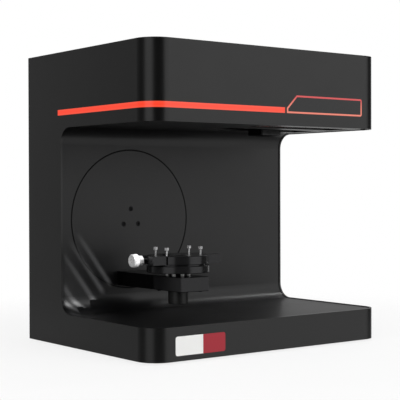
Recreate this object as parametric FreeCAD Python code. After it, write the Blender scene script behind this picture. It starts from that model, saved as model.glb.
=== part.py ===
"""Desktop 3D scanner: a C-shaped sheet-steel housing with a tilting turntable.

The housing has a base, a rear column and an overhanging head. A round disc in the column's front
wall tilts about a level axis and carries an arm with a rotary table and a screw clamp.
Units are millimetres. X runs to the right, Y to the back and Z up. The origin is on the surface
that the feet stand on, under the middle of the housing.
"""
import FreeCAD, Part
import math
import os

V = FreeCAD.Vector
AXIS_X, AXIS_Y, AXIS_Z = V(1, 0, 0), V(0, 1, 0), V(0, 0, 1)

# Housing
CASE_W = 397.2          # across, outside
CASE_D = 308.0          # front to back, outside
CASE_H = 400.0          # without the feet
CORNER_R = 28.6         # bend of the two front corners, outside
REAR_BEND_R = 4.0       # bend of the two rear corners, outside
WALL = 3.0              # wrap's sheet
REAR_RETURN = 14.0      # width of the flange that the wrap turns in at the back
BASE_H = 43.0           # base, at the wrap's cut edge
HEAD_H = 103.0          # head, at the wrap's cut edge
COLUMN_D = 93.5         # column, from the wrap's cut edge to the back
COVE_R = 22.0           # rounding where the mouth turns up and down
LINER_STEP = 1.0        # the liner lies this far back from the wrap's cut edge
LINER_T = 2.0
SEAM = 0.3              # gap round plates that drop into the housing
LID_T = 3.0
FLOOR_T = 2.0
REAR_PANEL_T = 2.0
BLOCK_SIZE = 12.0       # tapped corner blocks for the lid and the floor plate
BLOCK_IN = 17.6         # from the housing's sides to a corner block's middle
LUG = (8.0, 10.0, 10.0)  # tapped lugs that hold the liner
LUG_SIDE, LUG_FRONT, LUG_REAR = 10.5, 23.0, 28.0  # from the sides, the front and the mouth's back
REAR_SCREW_IN = 20.0    # from the housing's top and bottom to the rear panel's screws
FOOT_R = 12.0
FOOT_H = 3.0
FOOT_INSET = 34.0       # from the housing's sides to a foot's axis
M3_R, M3_HEAD_R, M3_HEAD_H = 1.5, 2.8, 1.7
M4_R, M4_HEAD_R, M4_HEAD_H = 2.0, 3.6, 2.2

# Light guide and badge on the head
GUIDE_H = 7.5
GUIDE_RISE = 17.0       # lower edge, above the head's cut edge
GUIDE_PAST = 7.5        # it ends on the left side this far behind the mouth
GUIDE_TO_BADGE = 3.5
GUIDE_LIP = 2.0         # back flange, all round
GUIDE_BACK_T = 2.0
BOARD_T = 1.6
BADGE_W = 139.9
BADGE_SIDE = 36.2       # from the housing's right side
BADGE_H = 24.2
BADGE_SLOPE = 17.4      # size of the slanted corner
BADGE_R = 3.0
BADGE_LINE = 2.3        # width of the lit line
LABEL_SIDE = 37.3       # two-tone plate on the base's front, from the housing's left side
WHITE_W, RED_W = 42.8, 35.5
LABEL_UP = 6.8          # above the housing's lower edge
LABEL_H = 24.2
LABEL_T = 0.8           # it lies in a pocket as deep as this
LABEL_R = 3.0

# Tilt stage
AXIS_SIDE = 115.1       # the tilt axis and the table's axis, from the housing's left side
TILT_RISE = 127.6       # tilt axis above the base
DISC_R = 97.0
DISC_T = 4.0
DISC_GAP = 1.2          # ring gap between the disc and the liner
DISC_BOLT_R = 14.3      # circle of the three screws
SHAFT_R = 10.0
SHAFT_BORE_R = 5.0
HUB_FLANGE_R = 24.0
HUB_FLANGE_T = 4.0
PULLEY_R = 38.2
PULLEY_T = 8.0
PLATE_GAP = 3.0         # from the pulley to the drive plate
DRIVE_PLATE_T = 6.0
DRIVE_PLATE_REACH = (85.0, 95.0)  # below and above the tilt axis
POST_IN = 14.6          # the left upright, from the housing's left side
POST_AWAY = 149.5       # the right upright, from the tilt axis
POST_SIDE = 16.0
POST_D = 40.0
POST_WALL = 2.0
SHAFT_TAIL = 8.0        # shaft past the second bearing
COLLAR_R = 15.0
COLLAR_T = 7.0
ARM_SCREW_IN = 8.0      # depth of the disc's screws in the arm
BEARING_R = 21.0        # outer radius of the tilt bearings
BEARING_T = 12.0
BEARING_SPACE = 2.0
HOUSING_WALL = 5.0
MOTOR_SIDE = 42.3
MOTOR_L = 40.0
MOTOR_EDGE = 4.0
MOTOR_SHAFT_IN = 20.0   # shaft inside the motor
MOTOR_SHAFT_R = 2.5
MOTOR_BOSS_R = 11.0
MOTOR_BOSS_H = 2.0
SMALL_PULLEY_R = 6.4
SMALL_FLANGE_R = 8.6
BELT_T = 1.4
BELT_W = 6.0
MOTOR_AWAY = 86.0       # between the two pulleys
MOTOR_ANGLE = 32.0      # direction from the tilt axis to the motor, above level
RUN_FIT = 0.05          # radial clearance of a shaft in its bore
AIR = 0.3               # least gap between parts that move past each other

# Arm and rotary table
TABLE_AHEAD = 114.1     # the table's axis, ahead of the column's wall
TABLE_DROP = 45.6       # the clamp's top, below the tilt axis
ARM_W = 46.2
ARM_H = 19.5
ARM_SCREWS = ((-14.0, -5.0), (14.0, -5.0), (-14.0, 5.0), (14.0, 5.0))  # from the arm's middle
BLOCK_AHEAD = 38.3      # the block's front, ahead of the table's axis
BLOCK_D = 64.0          # bearing block at the arm's front end
EDGE = 0.8              # small chamfers on machined edges
BLOCK_SCREWS = ((-17.0, -27.0), (17.0, -27.0), (-17.0, 20.0), (17.0, 20.0))  # from the table's axis
TABLE_MOTOR_R = 13.5
TABLE_MOTOR_H = 18.5
HUB_R = 11.5
HUB_H = 4.7
SPINDLE_R = 6.0
SPINDLE_BEARING_R = 14.0
SPINDLE_BEARING_T = 8.0
BEARING_SEAT = 2.0      # the table's bearing lies this far below the arm's top
PLATTER_R = 42.5
PLATTER_T = 9.8
CLAMP_R = 41.0
CLAMP_T = 13.5
CLAMP_STEP_R = 37.0     # the clamp's smaller foot, under the jaws
CLAMP_STEP_H = 1.7
PLATTER_BOLTS = ((-5.0, -33.0), (5.0, -33.0), (-5.0, 33.0), (5.0, 33.0))

# Screw clamp on the table
JAW_OUT = 21.6          # half width over the jaw's two arms
JAW_GAP = 2.0           # open groove outside the arms
JAW_IN = 9.6            # half the space between them
JAW_REACH = 55.7        # from the table's axis to the arms' outer ends
JAW_TAIL = 16.5         # from the table's axis to the arms' inner ends
JAW_BRIDGE = (29.5, 41.5)  # the bar that joins the two arms, from the table's axis
JAW_CLOSE = 14.0        # travel towards the axis
JAW_OPEN = 6.0          # travel away from it
PIN_X = 27.9
PIN_Y = 13.0
PIN_STAND = 6.6         # bare shank above the jaw
PIN_R, PIN_HEAD_R, PIN_HEAD_H = 1.4, 2.8, 4.5
SCREW_DROP = 5.5        # clamp screw's axis below the table's top
SCREW_R = 3.0
BOSS_R = 5.0
BOSS_L = 17.6
KNOB_R = 8.7
KNOB_L = 8.6
KNOB_NECK_R = 6.5
KNOB_NECK_L = 7.2
CLIP_R = 4.6
CLIP_T = 1.0
SCREW_HOLD = 8.0        # screw left in the clamp's bore when the jaw is fully out

# Optics in the head, which look down to the left through two slots
SLOT_W = 166.0
SLOT_SIDE = 26.6        # the slots' right ends, from the housing's right side
FRONT_SLOT = (36.0, 76.0)  # front and back edge, from the housing's front
REAR_SLOT = (104.0, 152.0)
WEB_BACK = 88.0         # front face of the upright plate that carries the optics
WEB_T = 4.0
WEB_H = 84.0
CAMERA_BOX = (30.0, 36.0, 44.0)
CAMERA_LENS_R = 11.0
CAMERA_LENS_L = 18.0
PROJECTOR_BOX = (46.0, 58.0, 70.0)
PROJECTOR_LENS_R = 14.0
PROJECTOR_LENS_L = 14.0
LENS_RIM = 1.5
LENS_DISH = 3.0
LENS_RISE = 16.0        # lens fronts' middles above the liner's underside
FRONT_CAMERA_IN = (64.0, 64.0)  # lens fronts' middles, from the slots' left ends and the front
REAR_CAMERA_IN = (34.0, 118.0)
PROJECTOR_IN = (106.0, 121.0)
CAMERA_LEAN, PROJECTOR_LEAN = 34.0, 40.0
HOOD_IN = (71.0, 110.0)  # its corner, from the slots' left ends and the front
HOOD_W, HOOD_D = 44.0, 32.0
HOOD_T = 1.2
HOOD_DROP = 6.0
HOOD_RISE = 4.0

# Rear panel fittings; heights are above the housing's lower edge
FLANGE_OVER = 2.0       # a fitting's flange covers the panel's cut by this much
INLET_IN, INLET_Z = 78.6, 40.0  # from the housing's left side
INLET_W, INLET_H, INLET_L = 48.0, 28.0, 24.0
INLET_PIT = (22.0, 15.0, 16.0)
INLET_FLANGE_T = 2.0
BLADE = (2.0, 12.0, 4.0)
BLADES = ((-7.0, 0.0), (0.0, 4.0), (7.0, 0.0))
SWITCH_AWAY, SWITCH_Z = 48.0, 40.0  # from the inlet
SWITCH_W, SWITCH_H, SWITCH_L = 20.0, 30.0, 18.0
SWITCH_FLANGE_T = 2.0
ROCKER_W, ROCKER_H = 12.0, 20.0
ROCKER_THROW = 14.0     # degrees between on and off
ROCKER_IN = 5.0         # its pivot, inside the panel's face
ROCKER_DEEP = 4.0
ROCKER_TIP = 4.6
ROCKER_DIP = 3.4
PIVOT_R, PIVOT_L = 1.2, 1.2
ROCKER_ROOM = 1.2       # above and below the rocker
USB_AWAY, USB_Z = 42.0, 40.0  # from the switch
USB_W, USB_H, USB_L = 12.0, 11.0, 16.0
USB_PIT = (8.6, 7.8, 12.0)
USB_FLANGE_T = 1.0
USB_TONGUE = (5.2, 8.0, 3.0)
FAN_X, FAN_DROP = 60.0, 100.0  # its middle, below the housing's top
FAN_SIDE = 60.0
FAN_L = 15.0
FAN_HOLE_R = 28.0
FAN_HUB_R = 11.0
FAN_PIN_R, FAN_PIN_L = 1.5, 8.0
FAN_SPIDER_T = 2.0
FAN_ROTOR_L = 11.0
FAN_BLADES = 7
FAN_BLADE_T, FAN_BLADE_W, FAN_BLADE_TURN = 1.2, 9.0, 40.0
SLOT_L, SLOT_H, SLOT_PITCH, SLOT_Z = 34.0, 3.0, 8.0, 160.0
SLOT_ROWS = 6

# Electronics in the base
SUPPLY_SIDE, SUPPLY_FRONT = 38.6, 94.0  # from the housing's right side and front
SUPPLY_W, SUPPLY_D, SUPPLY_H = 120.0, 80.0, 28.0
BOARD_SIDE, BOARD_FRONT = 48.6, 94.0  # from the housing's left side and front
BOARD_W, BOARD_D = 130.0, 90.0
BOARD_HOLE_IN = 6.0
BOARD_STAND = 6.0
BOARD_POST_R = 3.0
CHIP_SIDE = 14.0
CHIPS = ((30.0, 40.0, 2.0), (60.0, 40.0, 2.0), (90.0, 20.0, 9.0), (20.0, 68.0, 9.0))  # right, back, high

# Places that follow from the sizes above
FLOOR_Z = FOOT_H
TOP_Z = FOOT_H + CASE_H
LEFT, RIGHT = -CASE_W / 2, CASE_W / 2
FRONT, BACK = -CASE_D / 2, CASE_D / 2
BASE_TOP = FLOOR_Z + BASE_H - LINER_STEP
HEAD_UNDER = TOP_Z - HEAD_H + LINER_STEP
MOUTH_Y = BACK - COLUMN_D
WALL_Y = MOUTH_Y + LINER_STEP
PANEL_Y = BACK - WALL
GUIDE_Z = TOP_Z - HEAD_H + GUIDE_RISE
BADGE_RIGHT = RIGHT - BADGE_SIDE
BADGE_LEFT = BADGE_RIGHT - BADGE_W
LABEL_LEFT = LEFT + LABEL_SIDE
LABEL_SPLIT = LABEL_LEFT + WHITE_W
AXIS_AT_X = LEFT + AXIS_SIDE
TILT = V(AXIS_AT_X, 0, FLOOR_Z + BASE_H + TILT_RISE)
TABLE_Y = WALL_Y - TABLE_AHEAD
TABLE_Z = TILT.z - TABLE_DROP
CLAMP_Z = TABLE_Z - CLAMP_T
JAW_Z = CLAMP_Z + CLAMP_STEP_H
PLATTER_Z = CLAMP_Z - PLATTER_T
ARM_TOP = PLATTER_Z - HUB_H
ARM_Z = ARM_TOP - ARM_H
ARM_FRONT_Y = TABLE_Y - BLOCK_AHEAD
TABLE_AT = V(AXIS_AT_X, TABLE_Y, 0)
DISC_BACK = WALL_Y + DISC_T
PULLEY_Y = DISC_BACK + HUB_FLANGE_T
DRIVE_PLATE_Y = PULLEY_Y + PULLEY_T + PLATE_GAP
HOUSING_Y = DRIVE_PLATE_Y + DRIVE_PLATE_T
POST_X = (LEFT + POST_IN, AXIS_AT_X + POST_AWAY)
SLOT_X = (RIGHT - SLOT_SIDE - SLOT_W, RIGHT - SLOT_SIDE)
WEB_Y = FRONT + WEB_BACK
INLET_X = LEFT + INLET_IN
SWITCH_X = INLET_X + SWITCH_AWAY
USB_X = SWITCH_X + USB_AWAY
FAN_Z = CASE_H - FAN_DROP
TONGUE_X = AXIS_AT_X - JAW_BRIDGE[0] + JAW_CLOSE + CLIP_T + 2 * AIR
SCREW_TIP_X = TONGUE_X + JAW_OPEN + SCREW_HOLD
SCREW_Z = TABLE_Z - SCREW_DROP
MOTOR_AT = TILT + V(MOTOR_AWAY * math.cos(math.radians(MOTOR_ANGLE)), 0,
                    MOTOR_AWAY * math.sin(math.radians(MOTOR_ANGLE)))

PARTS = {}


def span_box(x, y, z):
    """A box from three (low, high) pairs."""
    return Part.makeBox(x[1] - x[0], y[1] - y[0], z[1] - z[0], V(x[0], y[0], z[0]))


def middle_box(at, size):
    """A box centred on a point in X and Z that runs from it towards +Y."""
    wide, deep, high = size
    return Part.makeBox(wide, deep, high, V(at.x - wide / 2, at.y, at.z - high / 2))


def rod(at, axis, radius, length):
    return Part.makeCylinder(radius, length, at, axis)


def tube(at, axis, outer, inner, length):
    return rod(at, axis, outer, length).cut(rod(at, axis, inner, length))


def chamfered_rod(at, axis, radius, length, edge):
    """A cylinder with both rims chamfered, turned from its half profile."""
    side = AXIS_X if abs(axis.x) < 0.5 else AXIS_Z
    corners = [(0, 0), (radius - edge, 0), (radius, edge), (radius, length - edge),
               (radius - edge, length), (0, length)]
    points = [at + side * r + axis * h for r, h in corners]
    return Part.Face(Part.makePolygon(points + points[:1])).revolve(at, axis, 360)


def rounded_face(corners, place):
    """A flat face whose corners (u, v, radius) are rounded; place turns (u, v) into a point."""
    spans = []
    for i, (u, v, radius) in enumerate(corners):
        here = V(u, v, 0)
        before = (V(*corners[i - 1][:2], 0) - here).normalize()
        after = (V(*corners[(i + 1) % len(corners)][:2], 0) - here).normalize()
        half = before.getAngle(after) / 2
        away = radius / math.tan(half)
        inward = (before + after).normalize()
        bend = here + inward * (radius / math.sin(half) - radius)
        spans.append((here + before * away, bend, here + after * away))
    edges = []
    for i, (start, bend, end) in enumerate(spans):
        if corners[i][2] > 0:
            edges.append(Part.Arc(place(start), place(bend), place(end)).toShape())
        following = spans[(i + 1) % len(spans)][0]
        if end.distanceToPoint(following) > 1e-6:
            edges.append(Part.LineSegment(place(end), place(following)).toShape())
    return Part.Face(Part.Wire(edges))


def plan_prism(inset, low, high):
    """The housing's plan outline, moved in by inset, as an upright prism."""
    front_r = CORNER_R - inset
    rear_r = max(REAR_BEND_R - inset, 0)
    corners = [(LEFT + inset, FRONT + inset, front_r), (RIGHT - inset, FRONT + inset, front_r),
               (RIGHT - inset, BACK - inset, rear_r), (LEFT + inset, BACK - inset, rear_r)]
    return rounded_face(corners, lambda p: V(p.x, p.y, low)).extrude(V(0, 0, high - low))


def mouth_prism(grow, left, right):
    """The open mouth, seen from the side and made larger by grow, as a prism along X."""
    ahead = FRONT - CORNER_R
    back = MOUTH_Y + grow
    low = FLOOR_Z + BASE_H - grow
    high = TOP_Z - HEAD_H + grow
    corners = [(ahead, low, 0), (back, low, COVE_R + grow), (back, high, COVE_R + grow), (ahead, high, 0)]
    return rounded_face(corners, lambda p: V(left, p.x, p.y)).extrude(V(right - left, 0, 0))


def shell_band(outer_inset, inner_inset, low, high):
    """A band of the housing's outline between two insets."""
    return plan_prism(outer_inset, low, high).cut(plan_prism(inner_inset, low - 1, high + 1))


def guide_region(lip):
    """The space along the left side and the front where the light guide runs."""
    low = GUIDE_Z - lip
    high = GUIDE_Z + GUIDE_H + lip
    back = MOUTH_Y + GUIDE_PAST + lip
    right = BADGE_LEFT - GUIDE_TO_BADGE + lip
    left_run = span_box((LEFT - 1, LEFT + CORNER_R), (FRONT - 1, back), (low, high))
    front_run = span_box((LEFT - 1, right), (FRONT - 1, FRONT + CORNER_R), (low, high))
    return left_run.fuse(front_run)


def badge_prism(inset, front, back):
    """The badge's outline on the front of the head, moved in by inset, from front to back in Y."""
    low = GUIDE_Z
    high = low + BADGE_H
    right = BADGE_RIGHT - inset
    lean = inset * math.tan(math.radians(22.5))
    radius = max(BADGE_R - inset, 0)
    corners = [(BADGE_LEFT + inset, low + inset, 0), (right, low + inset, radius), (right, high - inset, radius),
               (BADGE_LEFT + BADGE_SLOPE + lean, high - inset, 0),
               (BADGE_LEFT + inset, high - BADGE_SLOPE - lean, 0)]
    return rounded_face(corners, lambda p: V(p.x, front, p.y)).extrude(V(0, back - front, 0))


def corner_places(inset):
    return [(x, y) for x in (LEFT + inset, RIGHT - inset) for y in (FRONT + inset, BACK - inset)]


def group(shapes):
    return Part.makeCompound(shapes)


def screw(at, axis, radius, head_r, head_h, length):
    """A screw whose head rests on the point and whose shank runs along the axis."""
    head = rod(at - axis * head_h, axis, head_r, head_h)
    return head.fuse(rod(at, axis, radius, length)).removeSplitter()


LINER_SCREWS = [(x, y) for x in (LEFT + LUG_SIDE, RIGHT - LUG_SIDE)
                for y in (FRONT + LUG_FRONT, MOUTH_Y - LUG_REAR)]
REAR_SCREWS = [(x, z) for x in (LEFT + REAR_RETURN / 2 + 1, RIGHT - REAR_RETURN / 2 - 1)
               for z in (FLOOR_Z + REAR_SCREW_IN, FLOOR_Z + CASE_H / 2, TOP_Z - REAR_SCREW_IN)]


def housing():
    """The wrap, its lid, floor plate, liner, rear panel and corner blocks."""
    wrap = shell_band(0, WALL, FLOOR_Z, TOP_Z)
    opening = (LEFT + REAR_RETURN, RIGHT - REAR_RETURN)
    wrap = wrap.cut(span_box(opening, (PANEL_Y - 1, BACK + 1), (FLOOR_Z, TOP_Z)))
    wrap = wrap.cut(mouth_prism(0, LEFT - 1, RIGHT + 1))
    wrap = wrap.cut(guide_region(0)).cut(badge_prism(0, FRONT - 1, FRONT + WALL + 1))
    wrap = wrap.cut(label_half(LABEL_LEFT, WHITE_W, True)).cut(label_half(LABEL_SPLIT, RED_W, False))
    for x, z in REAR_SCREWS:
        wrap = wrap.cut(rod(V(x, PANEL_Y - 1, z), AXIS_Y, M3_R, WALL + 2))
    PARTS["outer_wrap"] = wrap

    inner = plan_prism(WALL + SEAM, FLOOR_Z, TOP_Z)
    liner = mouth_prism(LINER_STEP + LINER_T, LEFT, RIGHT).cut(mouth_prism(LINER_STEP, LEFT, RIGHT))
    liner = liner.common(inner)
    liner = liner.cut(rod(TILT + AXIS_Y * (WALL_Y - 1), AXIS_Y, DISC_R + DISC_GAP, LINER_T + 2))
    slot_z = (HEAD_UNDER - 1, HEAD_UNDER + LINER_T + 1)
    for near, far in (FRONT_SLOT, REAR_SLOT):
        liner = liner.cut(span_box(SLOT_X, (FRONT + near, FRONT + far), slot_z))
    for x, y in LINER_SCREWS:
        liner = liner.cut(rod(V(x, y, HEAD_UNDER - 1), AXIS_Z, M3_R, LINER_T + 2))
    PARTS["inner_liner"] = liner
    lug_z = HEAD_UNDER + LINER_T
    blocks, screws = [], []
    for x, y in LINER_SCREWS:
        screws.append(screw(V(x, y, HEAD_UNDER), AXIS_Z, M3_R, M3_HEAD_R, M3_HEAD_H, LINER_T + LUG[2] / 2))
        lug = Part.makeBox(*LUG, V(x - LUG[0] / 2, y - LUG[1] / 2, lug_z))
        blocks.append(lug.cut(rod(V(x, y, lug_z), AXIS_Z, M3_R, LUG[2])))

    lid = plan_prism(WALL + SEAM, TOP_Z - LID_T, TOP_Z)
    floor = plan_prism(WALL + SEAM, FLOOR_Z, FLOOR_Z + FLOOR_T)
    half = BLOCK_SIZE / 2
    for x, y in corner_places(BLOCK_IN):
        under_lid = (TOP_Z - LID_T - BLOCK_SIZE, TOP_Z - LID_T)
        on_floor = (FLOOR_Z + FLOOR_T, FLOOR_Z + FLOOR_T + BLOCK_SIZE)
        for low, high in (under_lid, on_floor):
            piece = span_box((x - half, x + half), (y - half, y + half), (low, high))
            blocks.append(piece.cut(rod(V(x, y, low), AXIS_Z, M3_R, BLOCK_SIZE)))
        lid = lid.cut(rod(V(x, y, TOP_Z - LID_T), AXIS_Z, M3_R, LID_T))
        lid = lid.cut(rod(V(x, y, TOP_Z - M3_HEAD_H), AXIS_Z, M3_HEAD_R + SEAM, M3_HEAD_H))
        floor = floor.cut(rod(V(x, y, FLOOR_Z), AXIS_Z, M3_R, FLOOR_T))
        screws.append(screw(V(x, y, TOP_Z - M3_HEAD_H), -AXIS_Z, M3_R, M3_HEAD_R, M3_HEAD_H,
                            LID_T + BLOCK_SIZE / 2))
    feet = []
    for x, y in corner_places(FOOT_INSET):
        foot = chamfered_rod(V(x, y, 0), AXIS_Z, FOOT_R, FOOT_H, EDGE / 2)
        foot = foot.cut(rod(V(x, y, 0), AXIS_Z, M3_R, FOOT_H))
        feet.append(foot.cut(rod(V(x, y, 0), AXIS_Z, M3_HEAD_R + SEAM, M3_HEAD_H + SEAM)))
        floor = floor.cut(rod(V(x, y, FLOOR_Z), AXIS_Z, M3_R, FLOOR_T))
        screws.append(screw(V(x, y, M3_HEAD_H + SEAM), AXIS_Z, M3_R, M3_HEAD_R, M3_HEAD_H,
                            FOOT_H + FLOOR_T))
    PARTS["top_cover"] = lid
    PARTS["floor_plate"] = floor
    PARTS["corner_blocks"] = group(blocks)
    PARTS["feet"] = group(feet)
    PARTS["case_screws"] = group(screws)


def label_half(left, wide, rounded_left):
    """One colour of the two-tone plate; its outer corners are round and its inner ones square."""
    right = left + wide
    low = FLOOR_Z + LABEL_UP
    high = low + LABEL_H
    left_r, right_r = (LABEL_R, 0) if rounded_left else (0, LABEL_R)
    corners = [(left, low, left_r), (right, low, right_r), (right, high, right_r), (left, high, left_r)]
    return rounded_face(corners, lambda p: V(p.x, FRONT, p.y)).extrude(V(0, LABEL_T, 0))


def lights_and_label():
    """The light guide, the badge with its lit outline, their boards, and the two-tone plate."""
    flush = shell_band(0, WALL, FLOOR_Z, TOP_Z).common(guide_region(0))
    behind = shell_band(WALL, WALL + GUIDE_BACK_T, FLOOR_Z, TOP_Z).common(guide_region(GUIDE_LIP))
    stop = badge_prism(-GUIDE_LIP - SEAM, FRONT, FRONT + CORNER_R)
    PARTS["light_guide"] = flush.fuse(behind.cut(stop)).removeSplitter()
    board_in = WALL + GUIDE_BACK_T
    board = shell_band(board_in, board_in + BOARD_T, FLOOR_Z, TOP_Z).common(guide_region(GUIDE_LIP))
    strip_board = board.cut(stop)

    skin_back = FRONT + WALL
    rim = badge_prism(0, FRONT, skin_back).cut(badge_prism(BADGE_LINE, FRONT, skin_back))
    plate = badge_prism(-GUIDE_LIP, skin_back, skin_back + GUIDE_BACK_T)
    PARTS["badge_light"] = rim.fuse(plate).removeSplitter()
    PARTS["badge_plate"] = badge_prism(BADGE_LINE, FRONT, skin_back)
    badge_board_y = skin_back + GUIDE_BACK_T
    PARTS["light_boards"] = group([strip_board, badge_prism(0, badge_board_y, badge_board_y + BOARD_T)])
    PARTS["label_white"] = label_half(LABEL_LEFT, WHITE_W, True)
    PARTS["label_red"] = label_half(LABEL_SPLIT, RED_W, False)


def tilt_stage():
    """The disc, its shaft on two bearings, and the belt drive behind the column's front wall."""
    disc = rod(TILT + AXIS_Y * WALL_Y, AXIS_Y, DISC_R, DISC_T)
    screws = []
    for turn in (90, 210, 330):
        away = V(math.cos(math.radians(turn)), 0, math.sin(math.radians(turn))) * DISC_BOLT_R
        at = TILT + away + AXIS_Y * WALL_Y
        disc = disc.cut(rod(at, AXIS_Y, M4_R, DISC_T)).cut(rod(at, AXIS_Y, M4_HEAD_R, M4_HEAD_H))
        screws.append(screw(at + AXIS_Y * M4_HEAD_H, AXIS_Y, M4_R, M4_HEAD_R, M4_HEAD_H,
                            DISC_T + HUB_FLANGE_T / 2 - M4_HEAD_H))
    for x, z in ARM_SCREWS:
        at = V(AXIS_AT_X + x, DISC_BACK, ARM_Z + ARM_H / 2 + z)
        disc = disc.cut(rod(at, -AXIS_Y, M4_R, DISC_T))
        screws.append(screw(at, -AXIS_Y, M4_R, M4_HEAD_R, M4_HEAD_H, DISC_T + ARM_SCREW_IN))
    PARTS["tilt_disc"] = disc
    PARTS["stage_screws"] = group(screws)

    hub_at = TILT + AXIS_Y * DISC_BACK
    bearing_run = 2 * BEARING_T + BEARING_SPACE
    shaft_l = HOUSING_Y - DISC_BACK + bearing_run + SHAFT_TAIL
    shaft = rod(hub_at, AXIS_Y, HUB_FLANGE_R, HUB_FLANGE_T).fuse(rod(hub_at, AXIS_Y, SHAFT_R, shaft_l))
    shaft = shaft.cut(rod(hub_at, AXIS_Y, SHAFT_BORE_R, shaft_l))
    for turn in (90, 210, 330):
        away = V(math.cos(math.radians(turn)), 0, math.sin(math.radians(turn))) * DISC_BOLT_R
        shaft = shaft.cut(rod(hub_at + away, AXIS_Y, M4_R, HUB_FLANGE_T / 2))
    PARTS["tilt_shaft"] = shaft.removeSplitter()
    pulley_at = TILT + AXIS_Y * PULLEY_Y
    PARTS["tilt_pulley"] = tube(pulley_at, AXIS_Y, PULLEY_R, SHAFT_R, PULLEY_T)

    rings = []
    for step in (0, BEARING_T + BEARING_SPACE):
        at = TILT + AXIS_Y * (HOUSING_Y + step)
        rings.append(tube(at, AXIS_Y, BEARING_R, SHAFT_R + RUN_FIT, BEARING_T))
    PARTS["tilt_bearings"] = group(rings)
    house_at = TILT + AXIS_Y * HOUSING_Y
    sleeve = tube(house_at, AXIS_Y, BEARING_R + HOUSING_WALL, BEARING_R, bearing_run)
    collar = tube(house_at, AXIS_Y, BEARING_R + 3 * HOUSING_WALL, BEARING_R, HOUSING_WALL)
    PARTS["bearing_housing"] = sleeve.fuse(collar).removeSplitter()
    PARTS["shaft_collar"] = tube(house_at + AXIS_Y * (bearing_run + AIR), AXIS_Y, COLLAR_R, SHAFT_R, COLLAR_T)

    plate = span_box((POST_X[0] + POST_SIDE, POST_X[1]), (DRIVE_PLATE_Y, HOUSING_Y),
                     (TILT.z - DRIVE_PLATE_REACH[0], TILT.z + DRIVE_PLATE_REACH[1]))
    plate = plate.cut(rod(TILT + AXIS_Y * DRIVE_PLATE_Y, AXIS_Y, BEARING_R - HOUSING_WALL, DRIVE_PLATE_T))
    plate = plate.cut(rod(MOTOR_AT + AXIS_Y * DRIVE_PLATE_Y, AXIS_Y, MOTOR_BOSS_R, DRIVE_PLATE_T))
    PARTS["drive_plate"] = plate
    uprights = []
    for x in POST_X:
        post = span_box((x, x + POST_SIDE), (DRIVE_PLATE_Y, DRIVE_PLATE_Y + POST_D),
                        (FLOOR_Z + FLOOR_T, TOP_Z - LID_T - AIR))
        hollow = span_box((x + POST_WALL, x + POST_SIDE - POST_WALL),
                          (DRIVE_PLATE_Y + POST_WALL, DRIVE_PLATE_Y + POST_D), (FLOOR_Z, TOP_Z))
        uprights.append(post.cut(hollow))
    PARTS["column_posts"] = group(uprights)

    motor = middle_box(MOTOR_AT + AXIS_Y * HOUSING_Y, (MOTOR_SIDE, MOTOR_L, MOTOR_SIDE))
    upright_edges = [e for e in motor.Edges if abs(e.tangentAt(e.FirstParameter).y) > 0.9]
    motor = motor.makeChamfer(MOTOR_EDGE, upright_edges)
    boss_at = MOTOR_AT + AXIS_Y * (HOUSING_Y - MOTOR_BOSS_H)
    motor = motor.fuse(rod(boss_at, AXIS_Y, MOTOR_BOSS_R, MOTOR_BOSS_H))
    motor = motor.cut(rod(boss_at, AXIS_Y, MOTOR_SHAFT_R + RUN_FIT, MOTOR_BOSS_H + MOTOR_SHAFT_IN + 1))
    PARTS["tilt_motor"] = motor.removeSplitter()
    nose = PULLEY_Y - 1
    PARTS["motor_shaft"] = rod(MOTOR_AT + AXIS_Y * nose, AXIS_Y, MOTOR_SHAFT_R,
                               HOUSING_Y + MOTOR_SHAFT_IN - nose)
    small = tube(pulley_at - TILT + MOTOR_AT, AXIS_Y, SMALL_PULLEY_R, MOTOR_SHAFT_R, PULLEY_T)
    flange_t = (PULLEY_T - BELT_W) / 2 - AIR
    for y in (PULLEY_Y, PULLEY_Y + PULLEY_T - flange_t):
        small = small.fuse(tube(MOTOR_AT + AXIS_Y * y, AXIS_Y, SMALL_FLANGE_R, MOTOR_SHAFT_R, flange_t))
    PARTS["motor_pulley"] = small.removeSplitter()
    PARTS["drive_belt"] = belt_loop()


def belt_outline(extra):
    """The belt's side outline: two arcs and the two straight runs that touch both of them."""
    big, small = PULLEY_R + extra, SMALL_PULLEY_R + extra
    level = (MOTOR_AT - TILT).normalize()
    square = AXIS_Y.cross(level)
    lean = math.asin((big - small) / MOTOR_AWAY)
    y = PULLEY_Y + (PULLEY_T - BELT_W) / 2

    def rim(centre, radius, angle):
        return centre + AXIS_Y * y + (level * math.cos(angle) + square * math.sin(angle)) * radius

    upper, lower = math.pi / 2 - lean, lean - math.pi / 2
    edges = [Part.Arc(rim(TILT, big, upper), rim(TILT, big, math.pi), rim(TILT, big, lower)).toShape(),
             Part.LineSegment(rim(TILT, big, lower), rim(MOTOR_AT, small, lower)).toShape(),
             Part.Arc(rim(MOTOR_AT, small, lower), rim(MOTOR_AT, small, 0),
                      rim(MOTOR_AT, small, upper)).toShape(),
             Part.LineSegment(rim(MOTOR_AT, small, upper), rim(TILT, big, upper)).toShape()]
    return Part.Face(Part.Wire(edges)).extrude(AXIS_Y * BELT_W)


def belt_loop():
    return belt_outline(RUN_FIT + BELT_T).cut(belt_outline(RUN_FIT))


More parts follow.
